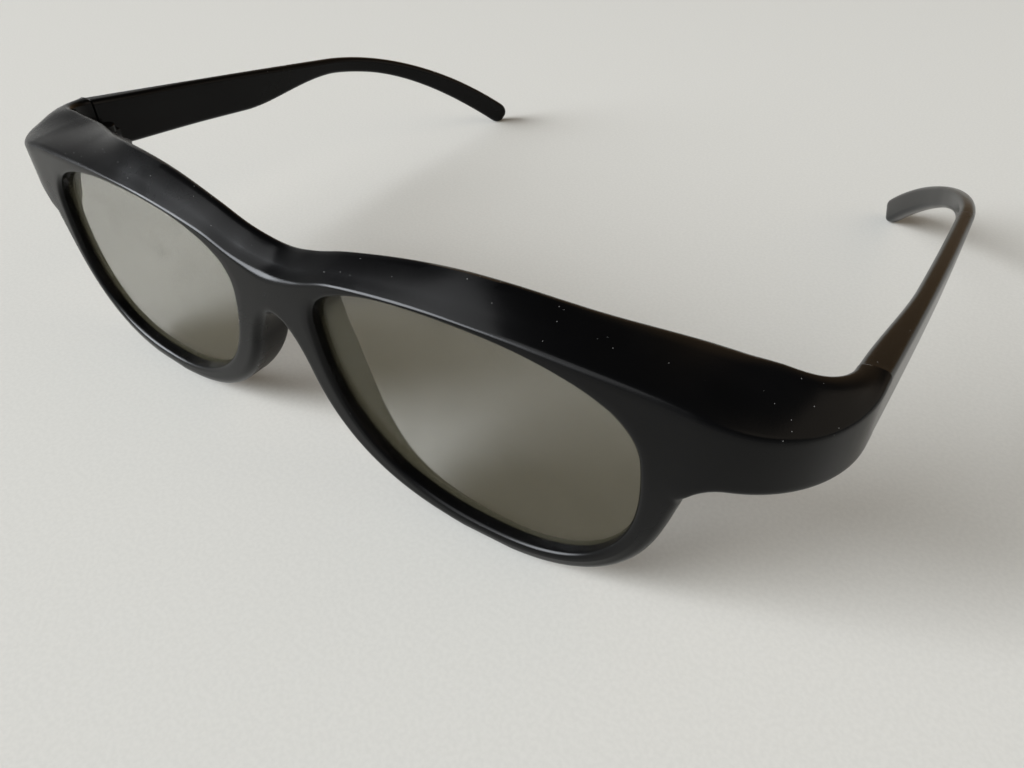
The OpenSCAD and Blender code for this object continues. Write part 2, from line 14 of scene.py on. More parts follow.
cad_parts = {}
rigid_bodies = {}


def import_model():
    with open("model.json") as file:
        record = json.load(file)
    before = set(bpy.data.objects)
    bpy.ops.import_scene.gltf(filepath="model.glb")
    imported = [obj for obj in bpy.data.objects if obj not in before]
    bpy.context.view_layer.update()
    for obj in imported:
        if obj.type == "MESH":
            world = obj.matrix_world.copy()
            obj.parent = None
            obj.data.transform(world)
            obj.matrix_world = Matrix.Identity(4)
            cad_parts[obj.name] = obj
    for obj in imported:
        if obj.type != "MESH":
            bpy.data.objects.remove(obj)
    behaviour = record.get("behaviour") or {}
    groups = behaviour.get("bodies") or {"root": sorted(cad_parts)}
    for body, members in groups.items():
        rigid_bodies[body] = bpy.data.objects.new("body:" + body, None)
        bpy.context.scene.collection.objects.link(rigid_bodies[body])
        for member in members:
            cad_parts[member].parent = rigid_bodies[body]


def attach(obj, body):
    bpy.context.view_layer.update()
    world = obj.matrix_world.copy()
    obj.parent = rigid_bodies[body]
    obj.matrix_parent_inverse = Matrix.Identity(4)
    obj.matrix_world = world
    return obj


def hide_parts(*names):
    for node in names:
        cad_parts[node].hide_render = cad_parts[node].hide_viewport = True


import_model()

LOG = logging.getLogger("glasses")
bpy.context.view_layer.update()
MM = 0.001
MID_Y = 65.5624  # millimetres from the bridge's front back to the middle of the part's box
MAX_CLIMB = 0.8  # climb over run of the steepest top that an edge is rounded for
Colour = tuple[float, float, float]
Triple = tuple[float, float, float]
Faces = list[tuple[int, ...]]


class Side(Enum):
    """The wearer's sides; the value is the sign of X."""

    LEFT = 1
    RIGHT = -1

    @property
    def word(self) -> str:
        """The side's name in node and body names."""
        return self.name.lower()


class Layer(Enum):
    """Layers of a lens, from the front."""

    RETARDER = "retarder_film"
    POLARISER = "polariser_film"
    BACKING = "backing_sheet"

    @property
    def thickness(self) -> float:
        """Thickness in millimetres."""
        return {Layer.RETARDER: 0.2, Layer.POLARISER: 0.25, Layer.BACKING: 0.35}[self]


def mix(a: Any, b: Any, t: float) -> Any:
    """Straight blend from a to b."""
    return a + (b - a) * t


def clamp01(t: float) -> float:
    """t held between 0 and 1."""
    return min(1.0, max(0.0, t))


def ease(t: float) -> float:
    """Smooth step from 0 to 1."""
    c = clamp01(t)
    return c * c * (3 - 2 * c)


def swell(t: float) -> float:
    """0 at both ends of a span and 1 in its middle."""
    return 1 - (2 * t - 1) ** 2


def hermite(p: float, m: float, q: float, k: float, t: float) -> float:
    """Cubic from p to q.

    Args:
        p: Start value.
        m: Start slope.
        q: End value.
        k: End slope.
        t: Place along the span, 0 to 1.

    Returns:
        The value at t.
    """
    t2, t3 = t * t, t * t * t
    return p * (2 * t3 - 3 * t2 + 1) + m * (t3 - 2 * t2 + t) + q * (3 * t2 - 2 * t3) + k * (t3 - t2)


def at(p: Vector, y: float) -> Vector:
    """Point of the front's elevation p = (x, z) at depth y."""
    return Vector((p.x, y, p.y))


def quarter(steps: int, first: int = 0) -> list[tuple[float, float]]:
    """Sine and cosine at even steps of a quarter turn.

    Args:
        steps: Number of steps in the quarter.
        first: First step to give.

    Returns:
        (sine, cosine) of each step.
    """
    turns = [math.pi / 2 * i / steps for i in range(first, steps + 1)]
    return [(math.sin(a), math.cos(a)) for a in turns]


def edge_arc(radius: float, climb: float, steps: int) -> list[tuple[float, float]]:
    """Rounded edge between an upright face and a top that climbs away from it.

    Args:
        radius: Height of the rounding below the corner.
        climb: Climb of the top for each millimetre of run.
        steps: Number of steps.

    Returns:
        Run from the face and drop below the corner, for each point after the first.
    """
    climb = min(MAX_CLIMB, max(0.0, climb))
    turn = math.pi / 2 - math.atan(climb)
    r = radius * (1 - climb) / math.tan(turn / 2)
    turns = [turn * i / steps for i in range(1, steps + 1)]
    return [(r * (1 - math.cos(a)), radius - r * math.sin(a)) for a in turns]


@dataclass(frozen=True)
class Curve:
    """Smooth curve through (position, value) knots, with the slope of the neighbours at each knot."""

    knots: tuple[tuple[float, float], ...]

    @classmethod
    def level_start(cls, *knots: tuple[float, float]) -> "Curve":
        """Curve that starts level at 0, by the second knot mirrored before the first."""
        return cls(((-knots[1][0], knots[1][1]), *knots))

    def slope(self, i: int) -> float:
        """Slope at knot i."""
        a, b = self.knots[max(0, i - 1)], self.knots[min(len(self.knots) - 1, i + 1)]
        return (b[1] - a[1]) / (b[0] - a[0])

    def __call__(self, x: float) -> float:
        """Gives the value of the curve.

        Args:
            x: Position; the end values hold beyond the end knots.

        Returns:
            The value there.
        """
        i = 0
        while i < len(self.knots) - 2 and x >= self.knots[i + 1][0]:
            i += 1
        p, q = self.knots[i], self.knots[i + 1]
        d = q[0] - p[0]
        return hermite(p[1], self.slope(i) * d, q[1], self.slope(i + 1) * d, clamp01((x - p[0]) / d))


class Wire:
    """A shader socket; arithmetic on it adds Math nodes to its sheet."""

    def __init__(self, sheet: "NodeSheet", socket: bpy.types.NodeSocket) -> None:
        """Wraps an output socket of the sheet."""
        self.sheet = sheet
        self.socket = socket

    def __add__(self, other: "Value") -> "Wire":
        """Sum."""
        return self.sheet.math("ADD", self, other)

    def __radd__(self, other: "Value") -> "Wire":
        """Sum with the wire second."""
        return self.sheet.math("ADD", other, self)

    def __sub__(self, other: "Value") -> "Wire":
        """Difference."""
        return self.sheet.math("SUBTRACT", self, other)

    def __rsub__(self, other: "Value") -> "Wire":
        """Difference with the wire second."""
        return self.sheet.math("SUBTRACT", other, self)

    def __mul__(self, other: "Value") -> "Wire":
        """Product."""
        return self.sheet.math("MULTIPLY", self, other)

    def __rmul__(self, other: "Value") -> "Wire":
        """Product with the wire second."""
        return self.sheet.math("MULTIPLY", other, self)

    def __gt__(self, other: "Value") -> "Wire":
        """1 where the wire is greater, else 0."""
        return self.sheet.math("GREATER_THAN", self, other)

    def __lt__(self, other: "Value") -> "Wire":
        """1 where the wire is less, else 0."""
        return self.sheet.math("LESS_THAN", self, other)

    def between(self, low: float, high: float) -> "Wire":
        """Smooth step of the wire from low to high."""
        node = self.sheet.node(
            "ShaderNodeMapRange",
            {"interpolation_type": "SMOOTHSTEP"},
            {"Value": self, "From Min": low, "From Max": high},
        )
        return self.sheet.out(node, "Result")


Value = Union[Wire, float]


class NodeSheet:
    """A node tree under construction."""

    def __init__(self, tree: bpy.types.NodeTree) -> None:
        """Empties the tree and starts on it."""
        self.tree = tree
        tree.nodes.clear()

    def node(self, kind: str, settings: dict[str, Any], inputs: dict[Any, Any]) -> bpy.types.Node:
        """Adds any node.

        Args:
            kind: Node type.
            settings: Attributes, set first; "stops" gives a ramp's (position, colour) pairs.
            inputs: Values or wires by socket name or number.

        Returns:
            The node.
        """
        made = self.tree.nodes.new(kind)
        for name, value in settings.items():
            if name == "stops":
                self.set_stops(made.color_ramp, value)
            else:
                setattr(made, name, value)
        for name, value in inputs.items():
            if isinstance(value, Wire):
                self.tree.links.new(value.socket, made.inputs[name])
            else:
                made.inputs[name].default_value = value
        return made

    @staticmethod
    def set_stops(ramp: bpy.types.ColorRamp, stops: Sequence[tuple[float, Colour]]) -> None:
        """Puts stops on a ramp.

        Args:
            ramp: The ramp.
            stops: (position, colour) pairs.
        """
        while len(ramp.elements) < len(stops):
            ramp.elements.new(1.0)
        for element, (place, colour) in zip(ramp.elements, stops):
            element.position = place
            element.color = (*colour, 1.0)

    def out(self, node: bpy.types.Node, name: Any) -> Wire:
        """Wire from a node's output."""
        return Wire(self, node.outputs[name])

    def math(self, operation: str, a: Value, b: Value) -> Wire:
        """Wire from a Math node on two values."""
        return self.out(self.node("ShaderNodeMath", {"operation": operation}, {0: a, 1: b}), "Value")

    def colour_mix(self, factor: Value, a: Any, b: Any) -> Wire:
        """Blends two colours.

        Args:
            factor: 0 gives a, 1 gives b.
            a: Colour or wire.
            b: Colour or wire.

        Returns:
            The blended colour.
        """
        ends = [value if isinstance(value, Wire) else (*value, 1.0) for value in (a, b)]
        node = self.node("ShaderNodeMix", {"data_type": "RGBA"}, {0: factor, 6: ends[0], 7: ends[1]})
        return self.out(node, 2)

    def noise(self, where: Wire, per_metre: float, detail: float = 2.0, distort: float = 0.0) -> Wire:
        """Noise over a surface.

        Args:
            where: Coordinates in metres.
            per_metre: Waves per metre.
            detail: Octaves.
            distort: Distortion.

        Returns:
            The noise, about 0.5 on average.
        """
        node = self.node(
            "ShaderNodeTexNoise",
            {},
            {"Vector": where, "Scale": per_metre, "Detail": detail, "Distortion": distort},
        )
        return self.out(node, 0)

    def place(self) -> Wire:
        """Object coordinates, in metres."""
        return self.out(self.node("ShaderNodeTexCoord", {}, {}), "Object")

    def facing_up(self) -> Wire:
        """How far the surface faces up, -1 to 1."""
        normal = self.out(self.node("ShaderNodeNewGeometry", {}, {}), "Normal")
        return self.out(self.node("ShaderNodeSeparateXYZ", {}, {0: normal}), "Z")

    def bump(self, height: Wire, depth: float, strength: float) -> Wire:
        """Normal of a bumped surface.

        Args:
            height: Height, 0 to 1.
            depth: Height of 1 in metres.
            strength: Share of the bump.

        Returns:
            The normal.
        """
        node = self.node("ShaderNodeBump", {}, {"Strength": strength, "Distance": depth, "Height": height})
        return self.out(node, "Normal")

    def surface(self, inputs: dict[str, Any]) -> None:
        """Ends a material in a Principled shader with these inputs."""
        shader = self.node("ShaderNodeBsdfPrincipled", {}, inputs)
        self.node("ShaderNodeOutputMaterial", {}, {"Surface": self.out(shader, 0)})


def new_sheet(name: str) -> tuple[bpy.types.Material, NodeSheet]:
    """Starts a material.

    Args:
        name: Name of the finish.

    Returns:
        The material and its empty node sheet.
    """
    material = bpy.data.materials.new(name)
    material.use_nodes = True
    return material, NodeSheet(material.node_tree)


def shaded(colour: Colour, share: float) -> Colour:
    """The colour cut down to a share."""
    return tuple(share * c for c in colour)


@dataclass(frozen=True)
class MouldedPlastic:
    """Black moulded plastic with a spark-eroded grain, handling marks and a little dust."""

    name: str
    colour: Colour
    worn: Colour
    roughness: float
    clean: float = 0.25  # share of the dust cells without a speck
    gloss: float = 0.15
    grain_mm: float = 0.22
    grain_depth: float = 0.000012
    grain_share: float = 0.35
    marks_per_m: float = 70.0
    marks_tone: float = 0.35
    marks_rough: float = 0.07
    flow_per_m: float = 18.0
    flow_tone: float = 0.3
    flow_smooth: float = 0.04
    specks_per_m: float = 750.0
    speck_size: float = 0.05
    speck_colour: Colour = (0.13, 0.13, 0.125)
    speck_up: float = 0.25
    speck_rough: float = 0.3

    def build(self) -> bpy.types.Material:
        """Makes the material.

        Returns:
            The material.
        """
        material, sheet = new_sheet(self.name)
        where = sheet.place()
        grain = sheet.noise(where, 1 / (self.grain_mm * MM), 3.0)
        marks = sheet.noise(where, self.marks_per_m, 4.0, 0.6).between(0.42, 0.72)
        flow = sheet.noise(where, self.flow_per_m, 2.0).between(0.3, 0.7)
        tone = marks * self.marks_tone + flow * self.flow_tone
        colour = sheet.colour_mix(tone, self.colour, self.worn)
        specks = self.specks(sheet, where)
        rough = self.roughness + marks * self.marks_rough - flow * self.flow_smooth
        sheet.surface({
            "Base Color": sheet.colour_mix(specks, colour, self.speck_colour),
            "Roughness": rough + specks * self.speck_rough,
            "Normal": sheet.bump(grain, self.grain_depth, self.grain_share),
            "Specular IOR Level": self.gloss,
        })
        return material

    def specks(self, sheet: NodeSheet, where: Wire) -> Wire:
        """Mask of the dust specks that lie on upper faces.

        Args:
            sheet: The material's sheet.
            where: Coordinates in metres.

        Returns:
            1 on a speck, else 0.
        """
        cells = sheet.node("ShaderNodeTexVoronoi", {}, {"Vector": where, "Scale": self.specks_per_m})
        chance = sheet.out(sheet.node("ShaderNodeSeparateColor", {}, {0: sheet.out(cells, "Color")}), 0)
        spot = sheet.out(cells, "Distance") < self.speck_size
        return spot * (chance > self.clean) * (sheet.facing_up() > self.speck_up)


@dataclass(frozen=True)
class LensFilm:
    """See-through film or sheet with faint smears."""

    name: str
    colour: Colour
    alpha: float
    roughness: float
    gloss: float
    smears_per_m: float = 90.0
    smear_rough: float = 0.06
    smear_alpha: float = 0.015
    tone_per_m: float = 25.0
    darkest: float = 0.9

    def build(self) -> bpy.types.Material:
        """Makes the material.

        Returns:
            The material.
        """
        material, sheet = new_sheet(self.name)
        where = sheet.place()
        smear = sheet.noise(where, self.smears_per_m, 3.0, 1.5).between(0.45, 0.8)
        tone = sheet.noise(where, self.tone_per_m, 2.0)
        sheet.surface({
            "Base Color": sheet.colour_mix(tone, self.colour, shaded(self.colour, self.darkest)),
            "Roughness": self.roughness + smear * self.smear_rough,
            "Alpha": self.alpha + smear * self.smear_alpha,
            "Specular IOR Level": self.gloss,
        })
        return material


@dataclass(frozen=True)
class DrawnSteel:
    """Drawn steel wire with fine lines along its length."""

    name: str
    colour: Colour = (0.55, 0.55, 0.56)
    roughness: float = 0.3
    lines_per_m: Triple = (9000.0, 9000.0, 300.0)
    line_depth: float = 0.000004
    line_share: float = 0.4
    line_rough: float = 0.15
    darkest: float = 0.7

    def build(self) -> bpy.types.Material:
        """Makes the material.

        Returns:
            The material.
        """
        material, sheet = new_sheet(self.name)
        drawn = sheet.node("ShaderNodeMapping", {}, {"Vector": sheet.place(), "Scale": self.lines_per_m})
        lines = sheet.noise(sheet.out(drawn, 0), 1.0, 2.0)
        sheet.surface({
            "Base Color": sheet.colour_mix(lines, self.colour, shaded(self.colour, self.darkest)),
            "Metallic": 1.0,
            "Roughness": self.roughness + lines * self.line_rough,
            "Normal": sheet.bump(lines, self.line_depth, self.line_share),
        })
        return material


@dataclass(frozen=True)
class TableTop:
    """Pale matt table top with a very fine tooth."""

    name: str
    colour: Colour = (0.61, 0.60, 0.56)
    roughness: float = 0.75
    gloss: float = 0.0
    tooth_per_m: float = 1600.0
    tooth_depth: float = 0.00002
    tooth_share: float = 0.3
    darkest: float = 0.955

    def build(self) -> bpy.types.Material:
        """Makes the material.

        Returns:
            The material.
        """
        material, sheet = new_sheet(self.name)
        tooth = sheet.noise(sheet.place(), self.tooth_per_m, 3.0)
        shade = shaded(self.colour, self.darkest)
        sheet.surface({
            "Base Color": sheet.colour_mix(tooth.between(0.3, 0.7), shade, self.colour),
            "Roughness": self.roughness,
            "Normal": sheet.bump(tooth, self.tooth_depth, self.tooth_share),
            "Specular IOR Level": self.gloss,
        })
        return material


def inset(outline: Sequence[Vector], i: int, width: float) -> Vector:
    """Moves a point of an outline inwards.

    Args:
        outline: Plan outline, counter-clockwise.
        i: Number of the point.
        width: How far it moves.

    Returns:
        The moved point.
    """
    n = len(outline)
    along = outline[(i + 1) % n] - outline[i - 1]
    return outline[i] + Vector((-along.y, along.x)).normalized() * width


def slab(outline: Sequence[Vector], low: float, high: float, edge: float) -> list[list[Vector]]:
    """Rings of an upright slab with broken edges, from its underside up.

    Args:
        outline: Plan outline, counter-clockwise.
        low: Height of the underside.
        high: Height of the upper side.
        edge: Width of the broken edges.

    Returns:
        The rings.
    """
    levels = (low, edge), (low + edge, 0), (high - edge, 0), (high, edge)
    return [[Vector((*inset(outline, i, width), z)) for i in range(len(outline))] for z, width in levels]


@dataclass
class Shell:
    """Points in millimetres and faces of a mesh under construction."""

    points: list[Vector] = field(default_factory=list)
    faces: Faces = field(default_factory=list)

    # Welding distance and shortest edge in metres, and the angle in degrees above which an edge shows
    WELD, SHORTEST, SHARP = 1e-7, 1e-8, 38.0

    def add(self, points: Iterable[Vector], faces: Iterable[Sequence[int]]) -> None:
        """Adds points and faces.

        Args:
            points: The points.
            faces: The faces, which count from the first of these points.
        """
        start = len(self.points)
        self.points.extend(points)
        self.faces.extend(tuple(start + i for i in face) for face in faces)

    def add_rings(self, rings: Sequence[Sequence[Vector]], cap_first: bool, cap_last: bool) -> None:
        """Skins closed rings of equal length.

        Args:
            rings: The rings in order.
            cap_first: Whether the first ring is closed by a face.
            cap_last: Whether the last ring is closed by a face.
        """
        n = len(rings[0])
        faces: Faces = []
        for i in range(len(rings) - 1):
            a, b = i * n, (i + 1) * n
            faces += [(a + j, a + (j + 1) % n, b + (j + 1) % n, b + j) for j in range(n)]
        if cap_first:
            faces.append(tuple(range(n)))
        if cap_last:
            faces.append(tuple(range((len(rings) - 1) * n, len(rings) * n)))
        self.add([p for ring in rings for p in ring], faces)

    def add_plate(
        self, outline: Sequence[Vector], bore: Sequence[Vector], levels: tuple[float, float], edge: float,
        blind: float = 0.0,
    ) -> None:
        """Adds an upright plate with a round bore and broken edges.

        Args:
            outline: Plan outline, counter-clockwise, as many points as the bore and starting level with it.
            bore: Plan outline of the bore.
            levels: Heights of the underside and the upper side.
            edge: Width of the broken edges.
            blind: Thickness left over the bore; 0 for a bore right through.
        """
        low, high = levels
        centre = sum(bore, Vector((0, 0))) / len(bore)

        def bored(z: float, width: float) -> list[Vector]:
            """Ring of the bore at a height, widened for an edge of this width."""
            return [Vector((*(p + (p - centre).normalized() * 0.5 * width), z)) for p in bore]

        rings = [bored(low + edge, 0), bored(low, edge)] + slab(outline, low, high, edge)
        if blind:
            self.add_rings([bored(high - blind, 0)] + rings, True, True)
        else:
            self.add_rings(rings + [bored(high, edge), bored(high - edge, 0), rings[0]], False, False)

    def add_box(self, low: Vector, high: Vector, edge: float) -> None:
        """Adds a box with broken upper and lower edges.

        Args:
            low: Corner with the least coordinates.
            high: Corner with the greatest.
            edge: Width of the broken edges.
        """
        plan = [Vector(p) for p in ((low.x, low.y), (high.x, low.y), (high.x, high.y), (low.x, high.y))]
        self.add_rings(slab(plan, low.z, high.z, edge), True, True)

    def mirrored(self) -> "Shell":
        """The same shape on the other side."""
        flipped = [Vector((-p.x, p.y, p.z)) for p in self.points]
        return Shell(flipped, [tuple(reversed(face)) for face in self.faces])

    def on(self, side: Side) -> "Shell":
        """The left-hand shape on the side asked for."""
        return self if side is Side.LEFT else self.mirrored()

    def with_mirror(self) -> "Shell":
        """The shape on both sides."""
        both = Shell(list(self.points), list(self.faces))
        both.join(self.mirrored())
        return both

    def join(self, other: "Shell") -> None:
        """Adds another shape's points and faces."""
        self.add(other.points, other.faces)

    def shift(self, y: float) -> None:
        """Moves the shape along Y."""
        self.points = [p + Vector((0, y, 0)) for p in self.points]

    def mesh(self, name: str) -> bpy.types.Mesh:
        """Makes the mesh, welded and with its faces outward.

        Args:
            name: Its name.

        Returns:
            The mesh, in metres.
        """
        mesh = bpy.data.meshes.new(name)
        mesh.from_pydata([p * MM for p in self.points], [], self.faces)
        bm = bmesh.new()
        bm.from_mesh(mesh)
        bmesh.ops.remove_doubles(bm, verts=bm.verts, dist=self.WELD)
        bmesh.ops.dissolve_degenerate(bm, edges=bm.edges, dist=self.SHORTEST)
        bmesh.ops.recalc_face_normals(bm, faces=bm.faces)
        bm.to_mesh(mesh)
        bm.free()
        return mesh

    def carved(self, cutter: "Shell") -> "Shell":
        """Takes another shape out of this one.

        Args:
            cutter: The closed shape to take out.

        Returns:
            The carved shape.
        """
        scene = bpy.context.scene.collection.objects
        body, tool = (bpy.data.objects.new("carving", shell.mesh("carving")) for shell in (self, cutter))
        scene.link(body)
        scene.link(tool)
        cut = body.modifiers.new("cut", "BOOLEAN")
        cut.operation, cut.solver, cut.object = "DIFFERENCE", "EXACT", tool
        mesh = bpy.data.meshes.new_from_object(body.evaluated_get(bpy.context.evaluated_depsgraph_get()))
        made = Shell([v.co / MM for v in mesh.vertices], [tuple(p.vertices) for p in mesh.polygons])
        spent = [body.data, tool.data, mesh]
        for piece in (body, tool):
            bpy.data.objects.remove(piece)
        for data in spent:
            bpy.data.meshes.remove(data)
        return made

    def make(self, name: str) -> bpy.types.Object:
        """Makes the mesh object, smooth but for its sharp edges.

        Args:
            name: Its name.

        Returns:
            The object, in metres.
        """
        mesh = self.mesh(name)
        bm = bmesh.new()
        bm.from_mesh(mesh)
        for face in bm.faces:
            face.smooth = True
        for edge in bm.edges:
            edge.smooth = len(edge.link_faces) == 2 and edge.calc_face_angle() < math.radians(self.SHARP)
        bm.to_mesh(mesh)
        bm.free()
        made = bpy.data.objects.new(name, mesh)
        bpy.context.scene.collection.objects.link(made)
        return made


def dress(shell: Shell, name: str, body: str, node: str, finish: bpy.types.Material) -> None:
    """Makes a piece and puts it in place of its CAD node.

    Args:
        shell: Its shape, with depths counted from the bridge's front.
        name: Its name.
        body: Body that it rides on.
        node: CAD node that it stands for.
        finish: Its material.
    """
    shell.shift(-MID_Y)
    piece = shell.make(name)
    piece.data.materials.append(finish)
    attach(piece, body)
    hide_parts(node)
    LOG.info("%s: %d faces, rides on %s", piece.name, len(piece.data.polygons), body)


@dataclass(frozen=True)
class LensOpening:
    """Outline of the left lens opening in elevation, in millimetres."""

    centre_x: float = 32.8
    centre_z: float = 25.3
    nose: float = 24.5
    side: float = 23.2
    up: float = 10.2
    down: float = 22.2
    square_up: float = 2.4
    square_low: float = 2.32
    lean: float = 0.126

    STEP = 0.5  # degrees either way that give a tangent

    def point(self, angle: float) -> Vector:
        """Gives a point of the outline.

        Args:
            angle: Parameter angle in degrees, from the temple side over the top.

        Returns:
            The point (x, z).
        """
        c, s = math.cos(math.radians(angle)), math.sin(math.radians(angle))
        power = 2 / (self.square_up if s > 0 else self.square_low)
        z = (self.up if s > 0 else self.down) * math.copysign(abs(s) ** power, s)
        x = (self.side if c > 0 else self.nose) * math.copysign(abs(c) ** power, c)
        return Vector((self.centre_x + x - self.lean * z, self.centre_z + z))

    def normal(self, angle: float) -> Vector:
        """Outward normal at a parameter angle."""
        d = self.point(angle + self.STEP) - self.point(angle - self.STEP)
        return Vector((d.y, -d.x)).normalized()


@dataclass(frozen=True)
class FrontPlan:
    """Plan of the front: a long arc, the corner arc and a straight side up to the hinge seam."""

    width: float = 150.2
    front_r: float = 700.0
    corner_r: float = 16.0
    inner_r: float = 5.2
    block_y: float = 14.7
    wall_t: float = 4.0
    seam_y: float = 20.7
    seam_z: float = 35.1
    seam_t: float = 3.7
    seam_edge: float = 0.16

    @property
    def half(self) -> float:
        """Half the overall width."""
        return self.width / 2

    @property
    def corner(self) -> tuple[float, float, float]:
        """Works out the corner arc.

        Returns:
            Its centre (x, y), and the distance from the middle where it starts.
        """
        start = (self.half - self.corner_r) / (1 - self.corner_r / self.front_r)
        turn = math.asin(start / self.front_r)
        y = self.front_r * (1 - math.cos(turn)) + self.corner_r * math.cos(turn)
        return self.half - self.corner_r, y, start

    def face_y(self, x: float) -> float:
        """Works out the depth of the front face.

        Args:
            x: Distance from the middle.

        Returns:
            The depth.
        """
        cx, cy, start = self.corner
        if x < start:
            return self.front_r - math.sqrt(self.front_r ** 2 - x * x)
        return cy - math.sqrt(max(0.0, self.corner_r ** 2 - (x - cx) ** 2))


@dataclass
class FrontFrame:
    """The moulded front: rims, brow, bridge, nose flanges, end pieces and hinge lugs."""

    plan: FrontPlan = field(default_factory=FrontPlan)
    opening: LensOpening = field(default_factory=LensOpening)
    # End piece and the port where it leaves the rim
    under_z: float = 25.5
    under_r: float = 0.9
    flange_z: float = 30.4
    corner_z: float = 34.1
    port_out: float = 0.6
    port_drop: float = 3.1
    port_r: float = 1.15
    pocket_in: float = 2.0
    seam_r: float = 1.05
    seam_back_r: float = 0.9
    # Lower rim and nose flange
    rim_nose: float = 4.3
    rim_side: float = 4.3
    rest_cut: float = 0.15
    depth_low: float = 4.4
    depth_side: float = 5.3
    depth_nose: float = 7.5
    edge_r: float = 2.0
    lip_r: float = 0.8
    inner_r: float = 0.8
    inner_out: float = 0.5
    low_back_r: float = 0.6
    nose_back_r: float = 1.0
    nose_lean: float = 0.5
    # Brow, bridge and the arch under it
    brow_z: float = 36.95
    brow_rise: float = 2.7
    brow_depth: float = 7.8
    brow_r: float = 1.05
    brow_lip_r: float = 0.35
    end_lip_r: float = 0.64
    back_r: float = 1.7
    crown: float = 0.12
    bridge_z: float = 32.5
    bridge_depth: float = 5.6
    bridge_r: float = 2.0
    arch_z: float = 24.8
    arch_extra: float = 1.4
    # Lens and its groove
    lens_back: float = 2.0
    lens_t: float = sum(layer.thickness for layer in Layer)
    groove_d: float = 0.9
    groove_gap: float = 0.06

    # Sections along each stretch round the opening and along the end piece
    BROW, PORT, RIM, ARCH, BRIDGE, ARM = 72, 14, 110, 16, 12, 36
    # Steps along each stretch of a section, and round the corner of the pocket
    LIP, FACE, ROUND, WALL, BACK, INNER, BEND = 4, 5, 5, 6, 4, 3, 24
    # Parameter angles of the opening where the stretches start
    T_BROW, T_PORT, T_RIM, T_ARCH, T_BRIDGE = 150.0, 38.0, -5.0, -168.0, -182.0
    # Steepness of the end piece's top, and the share of its length and the power of the corner below it
    STEEP, FILLET, FILLET_POWER = 2.0, 0.2, 2.4
    # Shares of the space behind the lens for the inner edge, of the rim where the nose flange starts,
    # and of the lens where the pocket starts
    INNER_SHARE, FLANGE_START, POCKET_START = 0.6, 0.7, 0.65
    # Way out at the port, how sharply the rim is drawn to it and how late its back comes forward
    PORT_WAY, PORT_POWER, PORT_LATE = (0.8, -0.6), 8, 1.5
    # Rate at which the brow's lip slims, radius where no wall is made, step for a slope, cutter's excess
    LIP_RATE, NO_WALL_R, STEP, EXCESS = 1.6, 0.1, 0.1, 1.0

    def __post_init__(self) -> None:
        """Works out the design curves."""
        plan, lens = self.plan, self.opening
        self.port_x = lens.centre_x + lens.side + self.rim_side + self.port_out
        self.port_z = self.under_z - self.port_drop
        self.shape_brow()
        self.shape_rim()
        self.wall_a = self.LIP + self.FACE
        self.wall_b = self.wall_a + 2 * self.ROUND + self.WALL
        inside, outside = lens.centre_x - lens.nose, lens.centre_x + lens.side
        self.slope = (plan.face_y(outside) - plan.face_y(inside)) / (outside - inside)

    def shape_brow(self) -> None:
        """Works out the curves of the bridge, the brow and the end piece."""
        low, high, rise = self.bridge_z, self.brow_z, self.brow_rise
        port, lens_x = self.port_x, self.opening.centre_x
        deep, thin, block = self.brow_depth, self.bridge_depth, self.plan.block_y
        dip, shoulder, inner, middle, outer, end = (k * port for k in (0.1, 0.21, 0.38, 0.59, 0.77, 0.925))
        self.crease = Curve.level_start(
            (0, low), (dip, low + 0.95), (shoulder, mix(low, high, 0.56)), (inner, mix(low, high, 0.865)),
            (lens_x, high), (outer, high - 0.55), (end, high - 1.1), (port, mix(self.corner_z, high, 0.42)),
        )
        self.rise = Curve.level_start(
            (0, 0.55 * rise), (dip, 0.66 * rise), (shoulder, 0.77 * rise), (inner, 0.91 * rise),
            (middle, rise), (outer, 0.52 * rise), (end, 0.2 * rise), (port, 0.38 * rise),
        )
        self.depth = Curve.level_start(
            (0, thin), (dip, thin - 0.5), (shoulder, thin - 0.3), (inner, mix(thin, deep, 0.35)),
            (middle, deep), (outer, mix(deep, block, 0.47)), (end, mix(deep, block, 0.935)), (port, block),
        )
        self.rounding = Curve.level_start(
            (0, self.bridge_r), (dip, mix(self.brow_r, self.bridge_r, 0.6)), (shoulder, self.brow_r),
            (lens_x, self.brow_r), (port, self.port_r),
        )
        back = self.back_r
        self.back_edge = Curve.level_start(
            (0, back - 0.7), (shoulder, back - 0.7), (inner, back - 0.5), (middle, back), (port, back),
        )
        top, corner, seam = self.crease(port), self.corner_z, self.plan.seam_z
        self.end_top = Curve(((0, top), (0.3, corner), (0.6, corner + 0.05), (1, seam)))
        ridge = top + self.rise(port)
        self.end_ridge = Curve(((0, ridge), (0.35, seam + 1.25), (0.7, seam + 0.5), (1, seam)))

    def shape_rim(self) -> None:
        """Works out the curves of the lower rim, from the port to the arch."""
        slim, side, nose = self.depth_low, self.depth_side, self.depth_nose
        self.low_depth = Curve((
            (0, side + 0.3), (0.08, side + 0.2), (0.18, side), (0.32, mix(slim, side, 0.5)), (0.55, slim),
            (0.72, slim + 0.4), (0.85, mix(slim, nose, 0.6)), (0.93, nose - 0.3), (1, nose),
        ))
        wide, low = self.rim_side, self.opening.centre_z - self.opening.down + self.rest_cut
        self.low_width = Curve((
            (0, wide - 0.1), (0.05, wide - 0.85), (0.12, wide - 1.2), (0.3, wide - 1.25), (0.52, low),
            (0.62, low), (0.85, self.rim_nose - 0.25), (1, self.rim_nose),
        ))
        shares = (0, 0.6), (0.25, 0.8), (0.55, 1.0), (0.8, 0.75), (1, 0.6)
        self.low_edge = Curve(tuple((place, share * self.edge_r) for place, share in shares))

